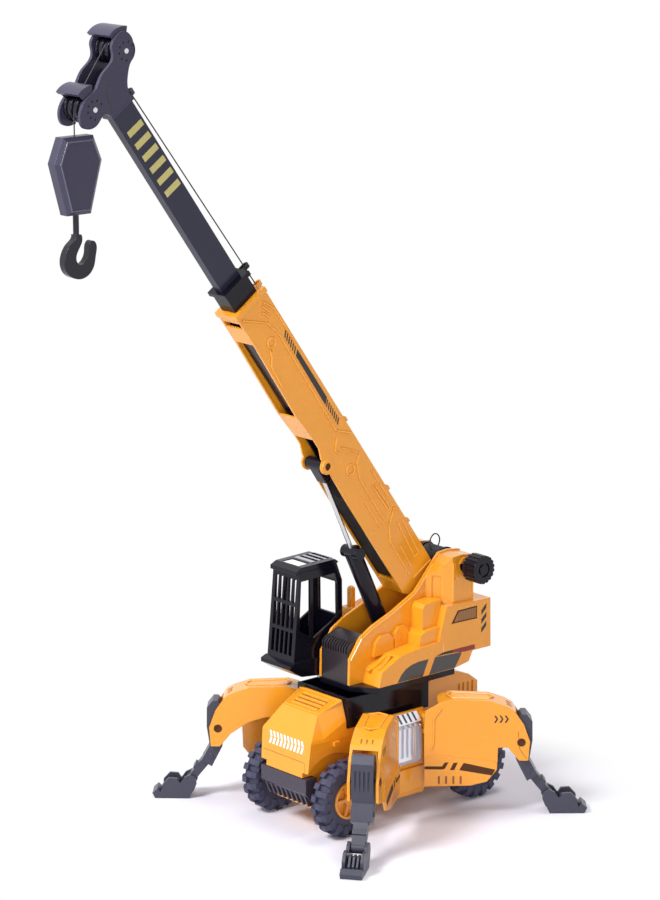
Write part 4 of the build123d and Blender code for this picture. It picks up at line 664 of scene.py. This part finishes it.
# ------------------------------------------------------------------ chassis and legs
def dress_nose():
    """White vent and a crease on the front face; raised slats and a border on the hood's top."""
    high = box("nose_hood")[1]
    lean = unit([-2.2, 0, 23.7])
    face = Place([high[0] - TOUCH, 0, 38.3], Y, lean, np.cross(Y, lean))
    upper = [(0, 0.3), (1.7, 0.3), (0.5, 4.0), (-1.2, 4.0)]
    lower = [(-1.2, -4.4), (0.5, -4.4), (1.7, -0.2), (0, -0.2)]
    vent = [row for bar in (upper, lower) for row in dashes((-15.2, 19.6), (3.4, 0), bar, 10)]
    mark("nose_vent", vent, face, PRINT_WHITE, "chassis")
    crease = [(-21.0, 10.2), (18.6, 10.2), (19.4, 8.6), (19.4, 1.2)]
    relief("nose_crease", [crease], face, SHADOW, "chassis", 0.6, THIN_HIGH)
    run, climb = 18.9, 7.2
    rise = unit([-run, 0, climb])
    top = Place([65.3, 0, high[2] - climb], Y, rise, np.cross(Y, rise))
    slat_half = 12.5
    slats = [[(-slat_half, v), (slat_half, v)] for v in (4.6, 8.2, 11.8, 15.4)]
    # The slats' lighter orange is a painted highlight on their tops.
    relief("hood_slats", slats, top, LIT_RELIEF, "chassis", 1.7, 0.8)
    gaps = [[(-slat_half, v), (slat_half, v)] for v in (6.4, 10.0, 13.6)]
    relief("hood_gaps", gaps, top, SHADOW, "chassis", 1.3, THIN_HIGH)
    # Darker bands under the slats: painted shade at their foot.
    relief("hood_foot_shades", slats, top, FOOT_SHADE, "chassis", 2.6, THIN_HIGH)
    border = [(-16.4, 1.6), (16.4, 1.6), (19.6, 18.6), (-19.6, 18.6)]
    # The border's lighter orange is a painted highlight on its raised line.
    relief("hood_border", [], top, LIT_RELIEF, "chassis", 0.9, 0.5, [border])


def dress_grille(side):
    """Sloping slotted top on one silver side grille."""
    low, high = box("side_grilles")
    run, climb, sunk = 5.2, 5.6, 0.4
    inside, foot = high[1] - run, high[2] - sunk
    wedge = [(inside, foot), (high[1], foot), (high[1], high[2]), (inside, high[2] + climb)]
    solid = slab(wedge, Place([low[0], 0, 0], side * Y, Z, X), 0, high[0] - low[0])
    new_piece(f"grille_top_{hand(side)}", *solid, SILVER, "chassis")
    rise, out = [0, -side * run, climb], [0, side * climb, run]
    slope = Place([low[0], side * high[1], high[2]], X, rise, out)
    gaps = dashes((3.2, 0.8), (4.2, 0), [(0, 0), (1.6, 0), (1.6, 6.4), (0, 6.4)], 4)
    mark(f"grille_gaps_{hand(side)}", gaps, slope, GREY, "chassis", high=0.06)


def dress_leg(corner):
    """Skirt panel, chevrons, bars, knee line and shoulder on a leg's outer plate, and the rest."""
    leg = leg_place(corner)
    outer, body = leg.moved(w=LEG_HALF), "leg_" + corner
    skirt_high = 0.8
    skirt = [
        (-2.4, 20.4), (-2.4, 40.2), (8.0, 41.4), (20.3, 39.3), (44.4, 36.2),
        (44.4, 31.4), (38.1, 23.5), (27.4, 20.8),
    ]
    mark("leg_skirt_" + corner, [skirt], outer, ORANGE, body, high=skirt_high)
    chevron = [(0, 0), (1.1, 0), (2.6, 2.4), (1.1, 4.8), (0, 4.8), (1.5, 2.4)]
    chevrons = dashes((42.4, 63.0), (3.4, 0), chevron, 3)
    mark("leg_chevrons_" + corner, chevrons, outer, PRINT_AND_SHADE_BLACK, body)
    raised = outer.moved(w=skirt_high)
    bars = [
        [
            (-2.3, 32.0), (9.4, 31.8), (10.9, 32.4), (13.2, 36.6), (10.7, 36.4), (9.0, 33.9),
            (-2.3, 33.9),
        ],
        [(14.2, 31.4), (16.8, 31.4), (19.2, 36.4), (16.4, 36.2)],
        [(20.2, 31.3), (41.4, 27.6), (43.4, 31.5), (23.0, 36.2)],
    ]
    mark("leg_bars_" + corner, bars, raised, PRINT_BROWN, body)
    slots = dashes((6.4, 22.0), (4.7, 0), [(0, 0), (1.3, 0), (1.3, 5.2), (0, 5.2)], 4)
    mark("leg_slots_" + corner, slots, raised, SHADOW, body, high=0.03)
    knee = [(58.2, 57.0), (58.8, 46.0), (61.0, 42.4), (64.0, 38.2)]
    relief("leg_knee_line_" + corner, [knee], outer, SHADOW, body, 0.5, 0.06)
    shoulder = [(2.0, 45.0), (3.6, 50.0), (3.6, 66.0), (8.4, 73.0)]
    names = ("leg_shoulder_" + corner, "leg_crease_" + corner)
    raised_with_foot_shade(*names, [shoulder], outer, body, 1.1, 0.6, 2.0)
    cap_knee(corner, leg, body)
    dress_leg_top(corner, leg, body)


def cap_knee(corner, leg, body):
    """Dished cap on the knee pin, on both plates of a leg: a profile turned about the pin."""
    along, up, out = leg.axes
    inner = Place(leg([0, 0, -LEG_HALF]), along, up, -out)
    cap = [(2.7, SUNK), (2.7, 0.25), (2.3, 0.5), (1.7, 0.5), (1.4, 0.2), (0.01, 0.2)]
    for name, wall in (("outer", leg.moved(w=LEG_HALF)), ("inner", inner)):
        shape = turned(cap, wall.moved(u=60.15, v=49.6), 28)
        new_piece(f"knee_cap_{name}_{corner}", *shape, PRINT_BROWN, body, smooth=True)


def dress_leg_top(corner, leg, body):
    """Long raised panel on a leg's back and three slits on the slope beyond it."""
    along, up, lateral = leg.axes
    back = np.cross(along, lateral)
    back *= np.sign(back[2])
    top = Place(leg([15.0, 78.7, 0]), 25 * along - 1.2 * up, lateral, back)
    panel = [(0.5, -6.0), (24.0, -5.0), (27.0, 0.0), (24.0, 5.0), (0.5, 6.0), (-2.5, 0.0)]
    names = ("leg_top_" + corner, "leg_top_crease_" + corner)
    raised_with_foot_shade(*names, [], top, body, 1.0, 0.6, 1.9, [panel])
    run, drop = 5.2, 3.0
    end = Place(leg([50.4, 74.0, 0]), run * along - drop * up, lateral, drop * along + run * up)
    slits = dashes((0.6, -3.6), (0, 3.6), [(0, -0.55), (3.6, -0.3), (3.6, 0.3), (0, 0.55)], 3)
    mark("leg_slits_" + corner, slits, end, SHADOW, body, high=THIN_HIGH)


# ------------------------------------------------------------------ stage
def seen_ray(nodes, links):
    """One for camera, glossy and transmission rays, nought for the rays that light the object."""
    path = nodes.new("ShaderNodeLightPath")
    value = path.outputs["Is Camera Ray"]
    for other in ("Is Glossy Ray", "Is Transmission Ray"):
        larger = nodes.new("ShaderNodeMath")
        larger.operation = "MAXIMUM"
        links.new(value, larger.inputs[0])
        links.new(path.outputs[other], larger.inputs[1])
        value = larger.outputs["Value"]
    return value


FLOOR_HALF = 4000.0
SHADOW_REACH = (0.11, 0.19)  # metres from the slewing axis: the floor's own shade, then plain white
LIT_LEVEL, SEEN_LEVEL = 0.42, 1.0


def build_floor():
    """Pale floor that takes the shadow near the object and turns plain white further off."""
    corners = FLOOR_HALF * np.array([(-1, -1, 0), (1, -1, 0), (1, 1, 0), (-1, 1, 0)])
    mesh = bpy.data.meshes.new("floor")
    mesh.from_pydata((corners * MM).tolist(), [], [[0, 1, 2, 3]])
    floor = bpy.data.objects.new("floor", mesh)
    bpy.context.scene.collection.objects.link(floor)
    paint = bpy.data.materials.new("floor_white")
    paint.use_nodes = True
    nodes, links = paint.node_tree.nodes, paint.node_tree.links
    nodes["Principled BSDF"].inputs["Base Color"].default_value = (0.8, 0.79, 0.88, 1)
    nodes["Principled BSDF"].inputs["Roughness"].default_value = 0.7
    glow = nodes.new("ShaderNodeEmission")
    glow.inputs["Color"].default_value = (1, 1, 1, 1)
    glow.inputs["Strength"].default_value = SEEN_LEVEL
    away = nodes.new("ShaderNodeVectorMath")
    away.operation = "LENGTH"
    links.new(nodes.new("ShaderNodeTexCoord").outputs["Object"], away.inputs[0])
    fade = nodes.new("ShaderNodeMapRange")
    fade.interpolation_type = "SMOOTHSTEP"
    fade.inputs["From Min"].default_value = SHADOW_REACH[0]
    fade.inputs["From Max"].default_value = SHADOW_REACH[1]
    links.new(away.outputs["Value"], fade.inputs["Value"])
    share = nodes.new("ShaderNodeMath")
    share.operation = "MULTIPLY"
    links.new(fade.outputs["Result"], share.inputs[0])
    links.new(seen_ray(nodes, links), share.inputs[1])
    mix = nodes.new("ShaderNodeMixShader")
    links.new(share.outputs["Value"], mix.inputs["Fac"])
    links.new(nodes["Principled BSDF"].outputs["BSDF"], mix.inputs[1])
    links.new(glow.outputs["Emission"], mix.inputs[2])
    links.new(mix.outputs["Shader"], nodes["Material Output"].inputs["Surface"])
    mesh.materials.append(paint)


def build_world():
    """White to the eye and in gloss, dimmer as light on the object."""
    world = bpy.data.worlds.new("studio")
    bpy.context.scene.world = world
    world.use_nodes = True
    nodes, links = world.node_tree.nodes, world.node_tree.links
    nodes["Background"].inputs["Color"].default_value = (1, 1, 1, 1)
    level = nodes.new("ShaderNodeMapRange")
    level.inputs["To Min"].default_value = LIT_LEVEL
    level.inputs["To Max"].default_value = SEEN_LEVEL
    links.new(seen_ray(nodes, links), level.inputs["Value"])
    links.new(level.outputs["Result"], nodes["Background"].inputs["Strength"])


def stand(holder, position, ahead):
    """Put a camera or lamp at a point, upright, looking ahead."""
    ahead = unit(ahead)
    right = unit(np.cross(ahead, Z))
    turn = np.eye(4)
    turn[:3, :3] = np.stack([right, np.cross(right, ahead), -ahead], axis=1)
    turn[:3, 3] = np.asarray(position) * MM
    holder.matrix_world = Matrix(turn.tolist())


def lamp(name, position, target, size, power):
    """Square soft light aimed at a point."""
    light = bpy.data.lights.new(name, "AREA")
    light.size = size * MM
    light.energy = power
    holder = bpy.data.objects.new(name, light)
    bpy.context.scene.collection.objects.link(holder)
    stand(holder, position, np.asarray(target, float) - np.asarray(position, float))


def build_lights():
    """Large soft lamps: key from the front, fill from the left and one overhead."""
    target = (20, 0, 180)
    lamp("key", (1050, -50, 1120), target, 420, 21)
    lamp("fill", (900, 1300, 500), target, 500, 6.8)
    lamp("top", (-300, 100, 1700), target, 600, 8.5)


def build_camera():
    """Long lens from the front left, a little above, as far off as the view needs."""
    azimuth, distance, height = radians(48.05), 2021.2, 717.3
    heading, pitch = azimuth + radians(180.85), radians(-13.37)
    camera = bpy.data.cameras.new("camera")
    camera.sensor_fit = "VERTICAL"
    camera.sensor_height = 36.0
    camera.lens = 129.88
    camera.clip_end = 50
    ahead = (cos(heading) * cos(pitch), sin(heading) * cos(pitch), sin(pitch))
    holder = bpy.data.objects.new("camera", camera)
    bpy.context.scene.collection.objects.link(holder)
    stand(holder, (distance * cos(azimuth), distance * sin(azimuth), height), ahead)
    bpy.context.scene.camera = holder


# ------------------------------------------------------------------ build
finish_cad_nodes()
for side in (1, -1):
    dress_main_boom(side)
    dress_inner_boom(side)
    dress_grille(side)
    dress_head(side)
    dress_hook_block(side)
    dress_deck_side(side)
line_boom_underside()
wind_cord()
loose_turn()
dress_deck_rear()
dress_deck_top()
dress_cab()
dress_nose()
for corner in CORNERS:
    dress_leg(corner)
build_floor()
build_world()
build_lights()
build_camera()
bpy.context.scene.view_settings.view_transform = "Standard"

bpy.context.view_layer.update()
